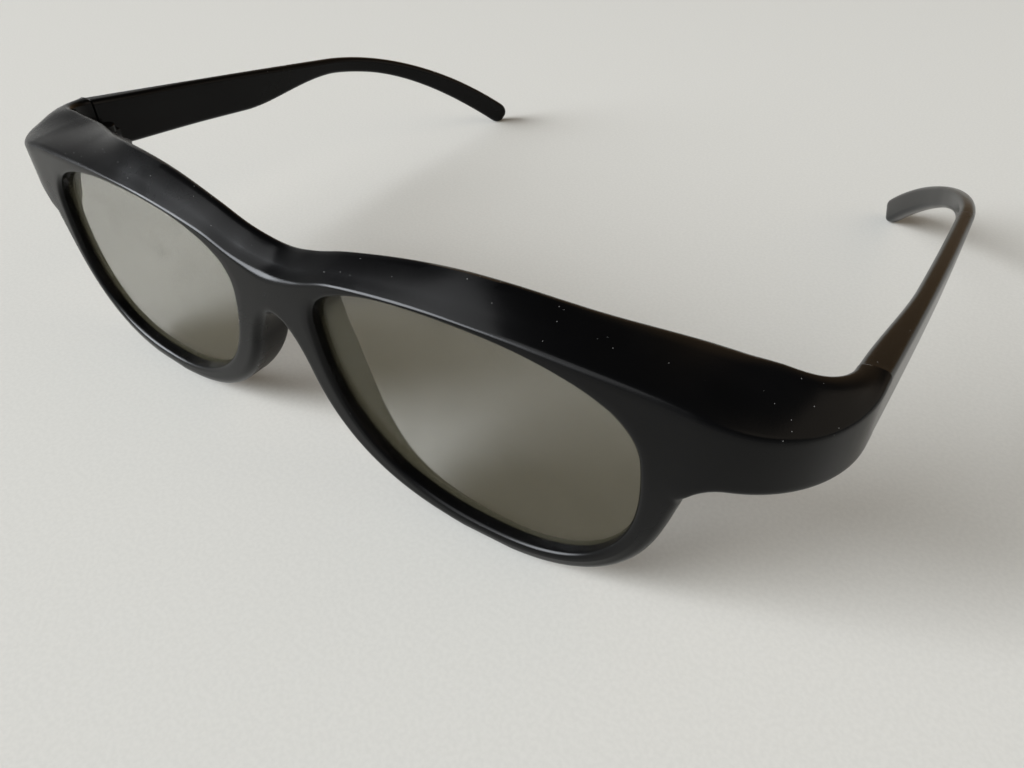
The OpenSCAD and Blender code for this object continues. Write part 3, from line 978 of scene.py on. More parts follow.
    def lens_y(self, x: float) -> float:
        """Depth of the lens front face at a distance from the middle."""
        lens_x = self.opening.centre_x
        return self.plan.face_y(lens_x) + self.lens_back + self.slope * (x - lens_x)

    def section(
        self, angle: float, edge: Vector, out: Vector, rear: Vector, deep: float,
        radii: Triple, crown: float = 0.0, gap: Union[tuple[Vector, Vector], None] = None,
    ) -> list[Vector]:
        """One section of the rim as a closed loop, from the lip over the front, wall and back to the groove.

        Args:
            angle: Parameter angle of the opening.
            edge: Outer edge at the front, in elevation.
            out: Outward direction at the outer edge.
            rear: Outer edge at the back.
            deep: Depth of the back.
            radii: Lip, front edge and back edge radius.
            crown: Swell of the outer wall.
            gap: End of the front face and start of the back face, where the wall is left out.

        Returns:
            The loop.
        """
        face, (lip_r, front_r, rear_r) = self.plan.face_y, radii
        lip, away = self.opening.point(angle), self.opening.normal(angle)
        front_y, seat_y, groove = face(edge.x), self.lens_y(lip.x), self.lens_t + self.groove_gap
        inner_r = min(self.inner_r, self.INNER_SHARE * (deep - seat_y - groove))
        front_end, rear_start = gap or (edge - out * front_r, rear - out * rear_r)
        loop = []
        for s, c in quarter(self.LIP):
            p = lip + away * lip_r * (1 - c)
            loop.append(at(p, face(p.x) + lip_r * (1 - s)))
        for i in range(1, self.FACE):
            p = mix(lip + away * lip_r, front_end, i / self.FACE)
            loop.append(at(p, face(p.x)))
        loop.append(at(front_end, front_y))
        run = deep - rear_r - front_y - front_r
        arc = edge_arc(front_r, (rear - edge).dot(out) / run, self.ROUND)
        loop += [at(edge - out * drop, front_y + far) for far, drop in arc]
        for i in range(1, self.WALL + 1):
            t = mix((arc[-1][0] - front_r) / run, 1.0, i / self.WALL)
            loop.append(at(mix(edge, rear, t) + out * crown * swell(t), front_y + front_r + run * t))
        for s, c in quarter(self.ROUND, 1):
            loop.append(at(rear - out * rear_r * (1 - c), deep - rear_r * (1 - s)))
        loop[-1] = at(rear_start, deep)
        inner = lip + away * self.inner_out
        for i in range(1, self.BACK + 1):
            loop.append(at(mix(rear_start, inner + away * inner_r, i / self.BACK), deep))
        for s, c in quarter(self.INNER, 1):
            loop.append(at(inner + away * inner_r * (1 - s), deep - inner_r * (1 - c)))
        bed = lip + away * self.groove_d
        bed_y = self.lens_y(bed.x)
        return loop + [at(lip, seat_y + groove), at(bed, bed_y + groove), at(bed, bed_y), at(lip, seat_y)]

    def brow_section(self, u: float) -> list[Vector]:
        """Makes a section of the brow.

        Args:
            u: Place from the middle of the bridge (0) to the port (1).

        Returns:
            The loop.
        """
        angle, end = mix(self.T_BROW, self.T_PORT, u), u in (0.0, 1.0)
        first, last = self.opening.point(self.T_BROW).x, self.opening.point(self.T_PORT).x
        x = self.opening.point(angle).x - first * (1 - u) ** 3 + (self.port_x - last) * u ** 3
        edge = Vector((x, self.crease(x)))
        out = Vector((0.0 if end else (self.crease(x - self.STEP) - edge.y) / self.STEP, 1)).normalized()
        lip = mix(self.end_lip_r, self.brow_lip_r, ease(math.sin(math.pi * u) * self.LIP_RATE))
        radii = lip, self.rounding(x), self.back_edge(x)
        rear = edge + Vector((0, self.rise(x)))
        return self.section(angle, edge, out, rear, self.depth(x), radii, self.crown)

    def rim_edge(self, u: float) -> Vector:
        """Outer edge of the lower rim."""
        angle = mix(self.T_RIM, self.T_ARCH, u)
        return self.opening.point(angle) + self.opening.normal(angle) * self.low_width(u)

    def rim_section(self, u: float) -> list[Vector]:
        """Makes a section of the lower rim.

        Args:
            u: Place from the port (0) round the bottom to the arch (1).

        Returns:
            The loop.
        """
        angle, pull = mix(self.T_RIM, self.T_ARCH, u), (1 - u) ** self.PORT_POWER
        e = self.rim_edge(u) + (Vector((self.port_x, self.port_z)) - self.rim_edge(0)) * pull
        edge = Vector((e.x, max(0.0, e.y)))
        out = mix(self.opening.normal(angle), Vector(self.PORT_WAY), pull).normalized()
        flange = ease((u - self.FLANGE_START) / (1 - self.FLANGE_START))
        radii = self.lip_r, self.low_edge(u), mix(self.low_back_r, self.nose_back_r, flange)
        rear = edge + Vector((self.nose_lean * flange, 0))
        return self.section(angle, edge, out, rear, self.low_depth(u), radii)

    def arch_section(self, u: float) -> list[Vector]:
        """Makes a section of the arch under the bridge.

        Args:
            u: Place from the rim (0) up to the middle (1).

        Returns:
            The loop.
        """
        foot, t = self.rim_edge(1), ease(u)
        edge = Vector((foot.x * (1 - u), mix(self.arch_z, foot.y, (1 - u) ** 2)))
        out = mix(self.opening.normal(self.T_ARCH), Vector((0, -1)), t).normalized()
        rear = edge + Vector((self.nose_lean * (1 - t), 0))
        deep = mix(self.depth_nose, self.bridge_depth + self.arch_extra, t)
        radii = self.lip_r, self.low_edge(1), self.nose_back_r
        return self.section(mix(self.T_ARCH, self.T_BRIDGE, u), edge, out, rear, deep, radii)

    def gap_section(
        self, angle: float, a: Sequence[Vector], b: Sequence[Vector], u: float, fall: float,
    ) -> list[Vector]:
        """Section where the outer wall is left out, between two whole sections.

        Args:
            angle: Parameter angle of the opening.
            a: Whole section before the gap.
            b: Whole section after the gap.
            u: Place between them.
            fall: Share of the second section's depth at the back.

        Returns:
            The loop; only its inner part is used.
        """
        front, back = (mix(a[j], b[j], u) for j in (self.wall_a, self.wall_b))
        gap = Vector((front.x, front.z)), Vector((back.x, back.z))
        deep = mix(a[self.wall_b].y, b[self.wall_b].y, fall)
        radii = self.lip_r, self.NO_WALL_R, self.NO_WALL_R
        return self.section(angle, gap[0], Vector((1, 0)), gap[1], deep, radii, gap=gap)

    def sections(self) -> list[list[Vector]]:
        """Makes all sections round the opening.

        Returns:
            The loops, starting at the bridge and going over the brow.
        """
        brow = [self.brow_section(i / self.BROW) for i in range(self.BROW + 1)]
        rim = [self.rim_section(i / self.RIM) for i in range(self.RIM)]
        arch = [self.arch_section(i / self.ARCH) for i in range(self.ARCH + 1)]
        port, bridge = [], []
        for u in (i / self.PORT for i in range(1, self.PORT)):
            angle = mix(self.T_PORT, self.T_RIM, u)
            late = ease(1 + self.PORT_LATE * (u - 1))
            port.append(self.gap_section(angle, brow[-1], rim[0], u, late))
        for u in (i / self.BRIDGE for i in range(1, self.BRIDGE)):
            angle = mix(self.T_BRIDGE, self.T_BROW - 360, u)
            bridge.append(self.gap_section(angle, arch[-1], brow[0], u, u))
        return brow + port + rim + arch + bridge

    def outer_at(self, v: float) -> tuple[Vector, Vector]:
        """Follows the outer face of the end piece in plan.

        Args:
            v: Place from the port (0) to the seam (1).

        Returns:
            The point, and the direction into the wall.
        """
        plan = self.plan
        cx, cy, _ = plan.corner
        turn = math.asin((self.port_x - cx) / plan.corner_r)
        bend = plan.corner_r * (math.pi / 2 - turn)
        length = v * (bend + plan.seam_y - cy)
        if length < bend:
            a = turn + length / plan.corner_r
            s, c = math.sin(a), math.cos(a)
            return Vector((cx + plan.corner_r * s, cy - plan.corner_r * c)), Vector((-s, c))
        return Vector((plan.half, cy + length - bend)), Vector((-1, 0))

    def inner_at(self, v: float) -> tuple[Vector, Vector]:
        """Follows the inner face of the end piece in plan.

        Args:
            v: Place from the port (0) to the seam (1).

        Returns:
            The point, and the direction into the wall.
        """
        plan = self.plan
        inside = plan.half - plan.seam_t
        cx, cy = inside - plan.inner_r, plan.block_y + plan.inner_r
        run, bend = cx - self.port_x, plan.inner_r * math.pi / 2
        length = v * (run + bend + plan.seam_y - cy)
        if length < run:
            return Vector((self.port_x + length, plan.block_y)), Vector((0, -1))
        a = (length - run) / plan.inner_r
        if a < math.pi / 2:
            s, c = math.sin(a), math.cos(a)
            return Vector((cx + plan.inner_r * s, cy - plan.inner_r * c)), Vector((s, -c))
        return Vector((inside, cy + length - run - bend)), Vector((1, 0))

    def arm_edge(
        self, v: float, heights: tuple[float, float], radii: tuple[float, float], up: int, flat: float = 0.0,
    ) -> list[Vector]:
        """Upper or lower edge of one ring of the end piece, from its outer to its inner face.

        Args:
            v: Place from the port (0) to the seam (1).
            heights: Height at the outer and the inner face.
            radii: Edge radius at the outer and the inner face.
            up: 1 for the upper edge, -1 for the lower.
            flat: 0 for an even slope, 1 for one that is steep by the outer face and then level.

        Returns:
            The points.
        """
        (outer, inward), (inner, outward) = self.outer_at(v), self.inner_at(v)
        (z_out, z_in), (r_out, r_in) = heights, radii
        a, b = outer + inward * r_out, inner + outward * r_in
        run = (b - a).length
        climb = up * (z_in - z_out) * mix(1.0, self.STEEP, flat) / run
        arc = [(0.0, r_out)] + edge_arc(r_out, climb, self.ROUND)
        edge = [Vector((*(outer + inward * far), z_out - up * drop)) for far, drop in arc]
        for k in range(1, self.WALL + 1):
            t = mix((arc[-1][0] - r_out) / run, 1.0, k / self.WALL)
            steep = 1 - (1 - t) ** self.STEEP if t > 0 else self.STEEP * t
            z = mix(z_out, z_in, mix(t, steep, flat))
            edge.append(Vector((*mix(a, b, t), z + up * self.crown * swell(t))))
        for s, c in quarter(self.ROUND, 1):
            edge.append(Vector((*(inner + outward * r_in * (1 - s)), z_in - up * r_in * (1 - c))))
        return edge

    def arm_ring(self, v: float) -> list[Vector]:
        """Makes one ring of the end piece.

        Args:
            v: Place from the port (0) to the seam (1).

        Returns:
            The ring.
        """
        low = mix(self.under_z, self.port_z, (1 - clamp01(v / self.FILLET)) ** self.FILLET_POWER)
        radii = mix(self.port_r, self.seam_r, v), mix(self.back_r, self.seam_back_r, ease(v * 2))
        upper = self.arm_edge(v, (self.end_top(v), self.end_ridge(v)), radii, 1, ease(v))
        lower = self.arm_edge(v, (low, low), (self.under_r, self.under_r), -1)
        inner = [mix(upper[-1], lower[-1], i / self.PORT) for i in range(1, self.PORT)]
        outer = [mix(lower[0], upper[0], i / self.PORT) for i in range(1, self.PORT)]
        return upper + inner + lower[::-1] + outer

    def half_shell(self) -> Shell:
        """Makes the left half of the front without its lugs.

        Returns:
            The shape.
        """
        loops = self.sections()
        n, size = len(loops), len(loops[0])
        port, rim = self.BROW, self.BROW + self.PORT
        middle = rim + self.RIM + self.ARCH
        shell = Shell()
        faces: Faces = []
        for i in range(n):
            gap = port <= i < rim or i >= middle
            for j in range(size):
                if gap and self.wall_a <= j < self.wall_b:
                    continue
                a, b, k = i * size, (i + 1) % n * size, (j + 1) % size
                faces.append((a + j, a + k, b + k, b + j))
        shell.add([p for loop in loops for p in loop], faces)
        wall = range(self.wall_a, self.wall_b + 1)
        ring = [loops[port][j] for j in wall]
        ring += [loops[i][self.wall_b] for i in range(port + 1, rim)]
        ring += [loops[rim][j] for j in reversed(wall)]
        ring += [loops[i][self.wall_a] for i in range(rim - 1, port, -1)]
        rings = [ring] + [self.arm_ring(i / self.ARM) for i in range(1, self.ARM + 1)]
        shell.add_rings(rings[:-1] + broken_end(rings[-1], -self.plan.seam_edge), False, True)
        return shell

    def pocket(self) -> Shell:
        """Makes the pocket behind the left end piece, inside an even wall and under the top flange.

        Returns:
            The shape to take out.
        """
        plan, lens = self.plan, self.opening
        cx, cy, bend_x = plan.corner
        start = lens.centre_x + self.POCKET_START * lens.side
        side = lens.centre_x + lens.side - self.pocket_in
        outline = [Vector((x, plan.face_y(x) + plan.wall_t)) for x in (start, side)]
        turn, radius = math.asin((bend_x - cx) / plan.corner_r), plan.corner_r - plan.wall_t
        for i in range(self.BEND + 1):
            a = mix(turn, math.pi / 2, i / self.BEND)
            outline.append(Vector((cx + radius * math.sin(a), cy - radius * math.cos(a))))
        outline += [Vector((x, plan.seam_y + self.EXCESS)) for x in (plan.half - plan.wall_t, start)]
        made = Shell()
        heights = self.port_z - self.EXCESS, self.flange_z
        made.add_rings([[Vector((p.x, p.y, z)) for p in outline] for z in heights], True, True)
        return made

    def rib_y(self, hinge: "Hinge") -> float:
        """Works out where the lugs' ribs start, inside the front wall of the end piece.

        Args:
            hinge: Sizes of the hinges.

        Returns:
            The depth.
        """
        cx, cy, _ = self.plan.corner
        across = hinge.axis_x - hinge.knuckle_r - cx
        return cy - math.sqrt((self.plan.corner_r - self.plan.wall_t) ** 2 - across ** 2) - hinge.rib_bite

    def build(self, hinge: "Hinge", finish: bpy.types.Material) -> None:
        """Makes the piece.

        Args:
            hinge: Sizes of the hinges.
            finish: Its material.
        """
        whole = self.half_shell().with_mirror().carved(self.pocket().with_mirror())
        lugs = Shell()
        hinge.add_lugs(lugs, self.rib_y(hinge), self.plan.corner[1] - hinge.side_len)
        whole.join(lugs.with_mirror())
        dress(whole, "moulded_front", "front", "front_frame", finish)


def broken_end(ring: Sequence[Vector], back: float) -> list[list[Vector]]:
    """Two rings that end a bar in a flat face with a broken edge.

    Args:
        ring: The last ring, in a plane across Y.
        back: How far along Y the edge starts before the face; its size is the width of the edge.

    Returns:
        The ring at the start of the edge and the ring of the end face.
    """
    low = Vector((min(p.x for p in ring), 0, min(p.z for p in ring)))
    high = Vector((max(p.x for p in ring), 0, max(p.z for p in ring)))
    mid, reach = (low + high) / 2, (high - low) / 2
    kx, kz = 1 - abs(back) / reach.x, 1 - abs(back) / reach.z
    face = [Vector((mix(mid.x, p.x, kx), p.y, mix(mid.z, p.z, kz))) for p in ring]
    return [[p + Vector((0, back, 0)) for p in ring], face]


@dataclass
class Hinge:
    """Pin, frame lugs and temple knuckle of the left hinge."""

    plan: FrontPlan = field(default_factory=FrontPlan)
    axis_in: float = 2.1
    pin_r: float = 0.6
    knuckle_r: float = 1.6
    lug_z: float = 26.1
    lug_h: float = 1.5
    end_play: float = 0.08
    run_gap: float = 0.04
    lug_gap: float = 0.01
    head_r: float = 1.0
    head_h: float = 0.45
    head_edge: float = 0.05
    cap: float = 0.45
    top_gap: float = 0.05
    edge: float = 0.12
    rib_bite: float = 0.5
    rib_flare: float = 1.35
    side_len: float = 3.0
    side_bite: float = 1.2
    side_short: float = 0.5
    web_y: float = 0.25
    web_bite: float = 0.9
    web_len: float = 2.5

    # Points round a circle, steps of the pin's domed head, and the least length that counts
    TURN, DOME, TINY = 48, 6, 1e-6

    @property
    def axis_x(self) -> float:
        """Distance of the axis from the middle."""
        return self.plan.half - self.plan.seam_t - self.axis_in

    @property
    def axis_y(self) -> float:
        """Depth of the axis, level with the seam."""
        return self.plan.seam_y

    @property
    def knuckle_z(self) -> float:
        """Underside of the temple knuckle."""
        return self.lug_z + self.lug_h + self.end_play

    @property
    def upper_z(self) -> float:
        """Underside of the upper lug."""
        return self.knuckle_z + self.lug_h + self.end_play

    def ring(self, radius: float) -> list[Vector]:
        """Makes a circle round the axis in plan.

        Args:
            radius: Its radius.

        Returns:
            The points, counter-clockwise from +X.
        """
        x, y = self.axis_x, self.axis_y
        turns = [2 * math.pi * i / self.TURN for i in range(self.TURN)]
        return [Vector((x + radius * math.cos(a), y + radius * math.sin(a))) for a in turns]

    def add_lugs(self, shell: Shell, rib_y: float, side_y: float) -> None:
        """Adds the two frame lugs with the ribs that tie them to the walls of the end piece.

        Args:
            shell: The shape that they are added to.
            rib_y: Depth at which the ribs start.
            side_y: Depth at which they reach the side wall.
        """
        x, y, r = self.axis_x, self.axis_y, self.knuckle_r
        outline = self.ring(r)
        for i, p in enumerate(outline):
            if p.y < y - self.TINY:
                flare = max(-1.0, min(1.0, self.rib_flare * (p.x - x) / r))
                outline[i] = Vector((x + r * flare, mix(y, rib_y, (y - p.y) / r)))
        for z, blind in ((self.lug_z, 0.0), (self.upper_z, self.cap)):
            top = z + self.lug_h
            shell.add_plate(outline, self.ring(self.pin_r + self.lug_gap), (z, top), self.edge, blind)
            far = Vector((x + self.axis_in + self.side_bite, y - self.side_short, top))
            shell.add_box(Vector((x, side_y, z)), far, self.edge)

    def add_knuckle(self, shell: Shell) -> None:
        """Adds the knuckle and its web to the left temple.

        Args:
            shell: The temple.
        """
        axis = Vector((self.axis_x, self.axis_y))
        outline = []
        for p in self.ring(self.knuckle_r):
            q = p - axis
            if q.x > self.TINY and q.y > self.web_y:
                turn = math.atan2(q.y - self.web_y, q.x)
                c, s = max(self.TINY, math.cos(turn)), max(self.TINY, math.sin(turn))
                reach = min((self.axis_in + self.web_bite) / c, self.web_len / s)
                q = Vector((reach * c, self.web_y + reach * s))
            outline.append(q + axis)
        levels = self.knuckle_z, self.knuckle_z + self.lug_h
        shell.add_plate(outline, self.ring(self.pin_r + self.run_gap), levels, self.edge)

    def build_pin(self, side: Side, finish: bpy.types.Material) -> None:
        """Makes one hinge pin, pushed in from below, with a low domed head and a broken upper end.

        Args:
            side: The wearer's side.
            finish: Its material.
        """
        foot, top = self.lug_z, self.upper_z + self.lug_h - self.cap - self.top_gap
        head, pin, dome_h = self.head_r, self.pin_r, self.head_h / 2
        brim = foot - self.head_h + dome_h
        dome = [(head * c, brim - dome_h * s) for s, c in quarter(self.DOME, 1)[:-1]]
        profile = dome[::-1] + [
            (head, brim), (head, foot - self.head_edge), (head - self.head_edge, foot),
            (pin, foot), (pin, top - self.edge), (pin - self.edge, top),
        ]
        shell = Shell()
        shell.add_rings([[Vector((p.x, p.y, z)) for p in self.ring(r)] for r, z in profile], True, True)
        dress(shell.on(side), f"{side.word}_pin_wire", "front", f"{side.word}_hinge_pin", finish)


@dataclass
class Temple:
    """One folding temple: tall at the hinge, slender at the ear bend, with a hooked tip."""

    plan: FrontPlan = field(default_factory=FrontPlan)
    seam_gap: float = 0.05
    top_step: float = 0.2
    side_step: float = 0.05
    height_hinge: float = 9.6
    height_arm: float = 8.1
    height_bend: float = 3.4
    height_tip: float = 5.2
    thick_arm: float = 2.5
    thick_tip: float = 3.0
    narrow_y: float = 56.0
    slim_y: float = 84.0
    thin_len: float = 26.0
    bend_y: float = 81.0
    bend_in: float = 1.0
    widen_y: float = 94.0
    tip_y: float = 132.6
    tip_x: float = 55.9
    tip_z: float = 2.9
    fall: float = 0.132
    tip_fall: float = 0.9
    tip_turn: float = 0.5
    bend_turn: float = 0.035
    edge_r: float = 1.05
    tip_len: float = 2.2
    tip_end: float = 0.16

    # Sections along the temple, steps round a corner of a section and round the tip
    LOOPS, CORNER, TIP = 150, 6, 9
    # Distance either way that gives a tangent, and the largest share of a side that an edge takes
    STEP, ROUNDEST = 0.2, 0.46

    def top(self, y: float) -> float:
        """Works out the height of the top edge.

        Args:
            y: Depth.

        Returns:
            The height.
        """
        run, straight = self.tip_y - self.bend_y, min(y, self.bend_y) - self.plan.seam_y
        z = self.plan.seam_z - self.top_step - self.fall * straight
        if y < self.bend_y:
            return z
        return hermite(z, -self.fall * run, self.tip_z, -self.tip_fall * run, (y - self.bend_y) / run)

    def outer_x(self, y: float) -> float:
        """Works out where the outer face is.

        Args:
            y: Depth.

        Returns:
            Its distance from the middle.
        """
        half, run, straight = self.plan.half, self.tip_y - self.bend_y, self.bend_y - self.plan.seam_y
        bend, past = half - self.bend_in, y - self.bend_y
        if past < 0:
            t = (y - self.plan.seam_y) / straight
            return hermite(half - self.side_step, 0, bend, -self.bend_turn * straight, t)
        return hermite(bend, -self.bend_turn * run, self.tip_x, -self.tip_turn * run, past / run)

    def height(self, y: float) -> float:
        """Works out how tall the section is.

        Args:
            y: Depth.

        Returns:
            The height.
        """
        seam = self.plan.seam_y
        arm = mix(self.height_hinge, self.height_arm, (y - seam) / (self.narrow_y - seam))
        bend = mix(arm, self.height_bend, ease((y - self.narrow_y) / (self.slim_y - self.narrow_y)))
        return mix(bend, self.height_tip, self.widened(y))

    def widened(self, y: float) -> float:
        """Share of the tip's section."""
        return ease((y - self.widen_y) / (self.tip_y - self.widen_y))

    def thickness(self, y: float) -> float:
        """Works out how thick the section is.

        Args:
            y: Depth.

        Returns:
            The thickness.
        """
        thick = self.plan.seam_t - self.side_step
        arm = mix(thick, self.thick_arm, ease((y - self.plan.seam_y) / self.thin_len))
        return mix(arm, self.thick_tip, self.widened(y))

    def spine(self, y: float) -> Vector:
        """Point of the outer top edge."""
        return Vector((self.outer_x(y), y, self.top(y)))

    def axes(self, y: float) -> tuple[Vector, Vector]:
        """Works out a section's axes: upright at the seam, square to the path in the hook.

        Args:
            y: Depth.

        Returns:
            The sideways and the upward axis.
        """
        k = ease((y - self.plan.seam_y) / (self.bend_y - self.plan.seam_y))
        d = self.spine(y + self.STEP) - self.spine(max(self.plan.seam_y, y - self.STEP))
        d.normalize()
        along = Vector((d.x * k, d.y, d.z * k)).normalized()
        up = (Vector((0, 0, 1)) - along * along.z).normalized()
        return along.cross(up), up

    def loop(self, y: float, scale: float = 1.0) -> list[Vector]:
        """Section at a depth, as a rounded rectangle.

        Args:
            y: Depth.
            scale: Size about the section's middle.

        Returns:
            The loop.
        """
        w, h = self.thickness(y), self.height(y)
        r = min(self.edge_r, self.ROUNDEST * w, self.ROUNDEST * h)
        side, up = self.axes(y)
        corners = ((-r, -r, 0), (r - w, -r, 90), (r - w, r - h, 180), (-r, r - h, 270))
        made = []
        for cx, cz, first in corners:
            for i in range(self.CORNER + 1):
                a = math.radians(first + 90 * i / self.CORNER)
                x = (cx + r * math.cos(a) + w / 2) * scale - w / 2
                z = (cz + r * math.sin(a) + h / 2) * scale - h / 2
                made.append(self.spine(y) + side * x + up * z)
        return made

    def shell(self) -> Shell:
        """Makes the left temple without its knuckle.

        Returns:
            The shape.
        """
        start, end = self.plan.seam_y + self.seam_gap, self.tip_y - self.tip_len
        rings = broken_end(self.loop(start), self.plan.seam_edge)[::-1]
        rings += [self.loop(mix(start, end, i / self.LOOPS)) for i in range(1, self.LOOPS)]
        rings += [self.loop(end + self.tip_len * s, max(c, self.tip_end)) for s, c in quarter(self.TIP)]
        made = Shell()
        made.add_rings(rings, True, True)
        return made

    def build(self, side: Side, hinge: Hinge, finish: bpy.types.Material) -> None:
        """Makes one temple.

        Args:
            side: The wearer's side.
            hinge: Sizes of the hinges.
            finish: Its material.
        """
        shell, word = self.shell(), side.word
        hinge.add_knuckle(shell)
        dress(shell.on(side), f"{word}_temple_moulding", f"{word}_arm", f"{word}_temple", finish)


@dataclass
class Lens:
    """One bonded lens of flat layers, cut to the outline of the rim's groove."""

    side: Side
    front: FrontFrame
    overlap: float = 0.75
    bond: float = 0.01
    POINTS: int = 240

    def disc(self, start: float, thick: float) -> Shell:
        """One flat layer of the left lens.

        Args:
            start: Depth of its front face behind the lens front.
            thick: Its thickness.

        Returns:
            The layer.
        """
        opening, yaw = self.front.opening, math.atan(self.front.slope)
        centre = Vector((opening.centre_x, self.front.lens_y(opening.centre_x)))
        along, back = Vector((math.cos(yaw), math.sin(yaw))), Vector((-math.sin(yaw), math.cos(yaw)))
        rings: list[list[Vector]] = [[], []]
        for i in range(self.POINTS):
            angle = 360 * i / self.POINTS
            p = opening.point(angle) + opening.normal(angle) * self.overlap
            foot = centre + along * ((p.x - centre.x) / math.cos(yaw))
            for ring, depth in zip(rings, (start + self.bond / 2, start + thick - self.bond / 2)):
                ring.append(Vector((*(foot + back * depth), p.y)))
        made = Shell()
        made.add_rings(rings, True, True)
        return made

    def build(self, finishes: dict[Layer, bpy.types.Material]) -> None:
        """Makes the layers.

        Args:
            finishes: The finish of each layer, from the front.
        """
        start = 0.0
        for layer, finish in finishes.items():
            shell, kind, word = self.disc(start, layer.thickness), layer.name.lower(), self.side.word
            start += layer.thickness
            dress(shell.on(self.side), f"{word}_{kind}_disc", "front", f"{word}_{layer.value}", finish)


@dataclass(frozen=True)
class SoftLamp:
    """A square area lamp that points at the origin; metres and watts."""

    name: str
    place: Triple
    size: float
    watts: float
    colour: Colour

    def build(self) -> None:
        """Makes the lamp."""
        data = bpy.data.lights.new(self.name, "AREA")
        data.size, data.energy, data.color = self.size, self.watts, self.colour
        lamp = bpy.data.objects.new(self.name, data)
        lamp.location = self.place
        lamp.rotation_euler = (-Vector(self.place)).to_track_quat("-Z", "Y").to_euler()
        bpy.context.scene.collection.objects.link(lamp)


@dataclass(frozen=True)
class PhotoCamera:
    """Camera at the photograph's viewing angle, in millimetres and degrees of the row frame."""

    azimuth: float = 36.10
    elevation: float = 39.57
    distance: float = 139.2
    target: Triple = (16.197, -31.349, -3.111)
    roll: float = -1.10
    focal_px: float = 771.9
    image_px: int = 1024
    sensor: float = 36.0
    clip: tuple[float, float] = (0.005, 50.0)  # metres

    def build(self) -> None:
        """Makes the camera and gives it to the scene."""
        a, e, r = (math.radians(v) for v in (self.azimuth, self.elevation, self.roll))
        back = Vector((math.sin(a) * math.cos(e), -math.cos(a) * math.cos(e), math.sin(e)))
        right = Vector((math.cos(a), math.sin(a), 0))
        up = back.cross(right)
        right, up = right * math.cos(r) + up * math.sin(r), up * math.cos(r) - right * math.sin(r)
        place = (Vector(self.target) + back * self.distance) * MM
        data = bpy.data.cameras.new("photo_camera")
        data.sensor_fit, data.sensor_width = "HORIZONTAL", self.sensor
        data.lens = self.sensor * self.focal_px / self.image_px
        data.clip_start, data.clip_end = self.clip
        camera = bpy.data.objects.new("photo_camera", data)
        turned = Matrix((right, up, back)).transposed().to_4x4()
        camera.matrix_world = Matrix.Translation(place) @ turned
        bpy.context.scene.collection.objects.link(camera)
        bpy.context.scene.camera = camera


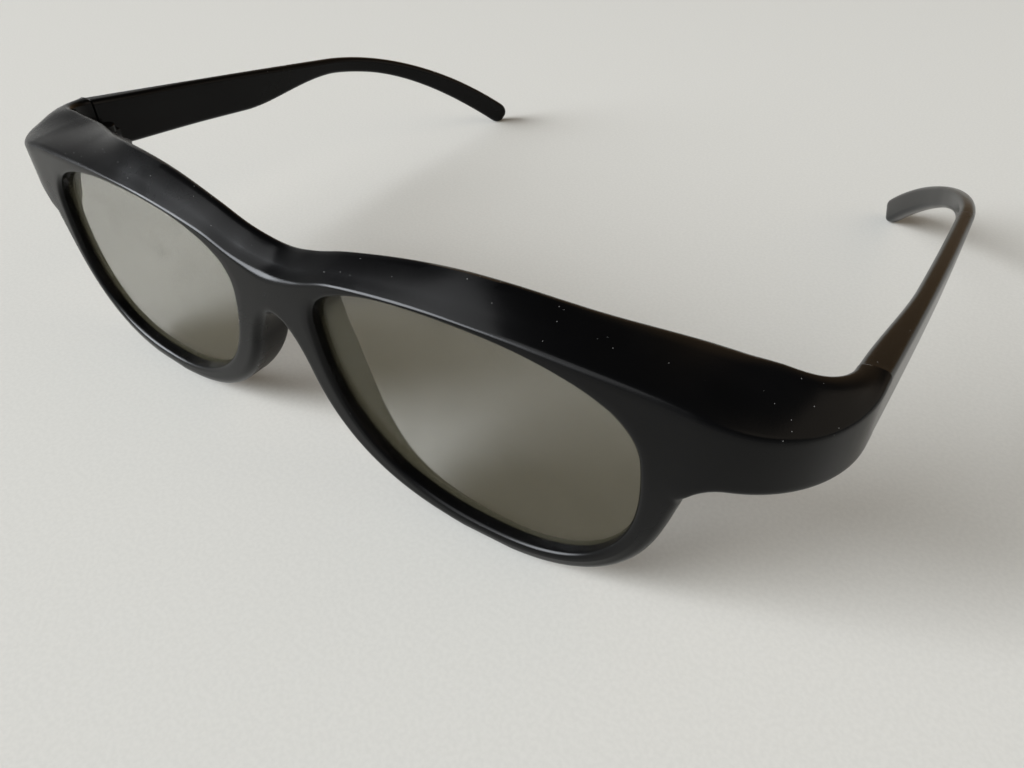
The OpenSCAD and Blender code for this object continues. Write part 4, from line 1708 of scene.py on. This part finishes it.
@dataclass
class Studio:
    """Table, soft light and surroundings.

    The surroundings are one grey sky. A window ahead and a warm wall behind light the glasses and show in
    them, but the camera doesn't see these two.
    """

    table_rings: Triple = (4.0, 0.8, 0.02)  # radii in metres
    lamps: tuple[SoftLamp, ...] = (
        SoftLamp("front", (-0.62, -0.9, 0.85), 1.2, 10.5, (0.98, 0.99, 1.0)),
        SoftLamp("room", (1.5, 0.45, 1.35), 1.9, 9.0, (1.0, 0.86, 0.7)),
    )
    sky: tuple[tuple[float, Colour], ...] = (
        (0.0, (0.46, 0.46, 0.45)), (0.2, (0.36, 0.36, 0.35)), (0.45, (0.2, 0.2, 0.2)),
        (0.62, (0.07, 0.07, 0.07)), (0.85, (0.04, 0.04, 0.04)),
    )
    wall: Colour = (0.34, 0.23, 0.13)
    wall_back: tuple[float, float] = (0.5, 0.85)
    wall_top: tuple[float, float] = (0.58, 0.72)
    window: Triple = (-0.663, -0.65, 0.371)
    window_edge: tuple[float, float] = (0.94, 0.96)
    window_light: Colour = (17.4, 18.2, 19.2)

    TURN = 96  # points round the table

    def build_table(self, finish: bpy.types.Material) -> None:
        """Makes the round table top that the glasses stand on.

        Args:
            finish: Its material.
        """
        turns = [2 * math.pi * i / self.TURN for i in range(self.TURN)]
        radii = [r / MM for r in self.table_rings]
        rings = [[Vector((r * math.cos(a), r * math.sin(a), 0)) for a in turns] for r in radii]
        shell = Shell()
        shell.add_rings(rings, False, True)
        table = shell.make("table_top")
        table.data.materials.append(finish)

    def build_light(self) -> None:
        """Makes the lamps and the surroundings."""
        for lamp in self.lamps:
            lamp.build()
        world = bpy.data.worlds.new("surroundings")
        world.use_nodes = True
        bpy.context.scene.world = world
        sheet = NodeSheet(world.node_tree)
        view = sheet.out(sheet.node("ShaderNodeTexCoord", {}, {}), "Generated")
        axes = sheet.node("ShaderNodeSeparateXYZ", {}, {0: view})
        height = sheet.out(axes, "Z")
        sky = sheet.out(sheet.node("ShaderNodeValToRGB", {"stops": self.sky}, {0: height}), 0)
        hidden = 1.0 - sheet.out(sheet.node("ShaderNodeLightPath", {}, {}), "Is Camera Ray")
        below = 1.0 - height.between(*self.wall_top)
        behind = sheet.out(axes, "Y").between(*self.wall_back) * below * hidden
        room = sheet.colour_mix(behind, sky, self.wall)
        towards = sheet.node("ShaderNodeVectorMath", {"operation": "DOT_PRODUCT"}, {0: view, 1: self.window})
        pane = sheet.out(towards, "Value").between(*self.window_edge) * hidden
        colour = sheet.colour_mix(pane, room, self.window_light)
        light = sheet.node("ShaderNodeBackground", {}, {"Color": colour, "Strength": 1.0})
        sheet.node("ShaderNodeOutputWorld", {}, {"Surface": sheet.out(light, 0)})


def main() -> None:
    """Builds the glasses, the table, the light and the camera."""
    logging.basicConfig(level=logging.INFO, format="%(message)s")
    bpy.context.scene.view_settings.view_transform = "Standard"
    black, worn = (0.0012, 0.0012, 0.0013), (0.0026, 0.0026, 0.0027)
    tint, grey = (0.05, 0.046, 0.03), (0.1, 0.092, 0.06)
    front_finish = MouldedPlastic("front_plastic", black, worn, roughness=0.25).build()
    temple_finish = MouldedPlastic("temple_plastic", black, worn, roughness=0.24, clean=0.6).build()
    steel = DrawnSteel("pin_steel").build()
    films = {
        Layer.RETARDER: LensFilm("retarder_clear", tint, alpha=0.15, roughness=0.04, gloss=0.6).build(),
        Layer.POLARISER: LensFilm("polariser_grey", grey, alpha=0.25, roughness=0.05, gloss=0.0).build(),
        Layer.BACKING: LensFilm("backing_clear", tint, alpha=0.05, roughness=0.04, gloss=0.4).build(),
    }
    front, hinge, temple = FrontFrame(), Hinge(), Temple()
    front.build(hinge, front_finish)
    for side in Side:
        temple.build(side, hinge, temple_finish)
        hinge.build_pin(side, steel)
        Lens(side, front).build(films)
    studio = Studio()
    studio.build_table(TableTop("table_pale").build())
    studio.build_light()
    PhotoCamera().build()


if __name__ == "__main__":
    main()
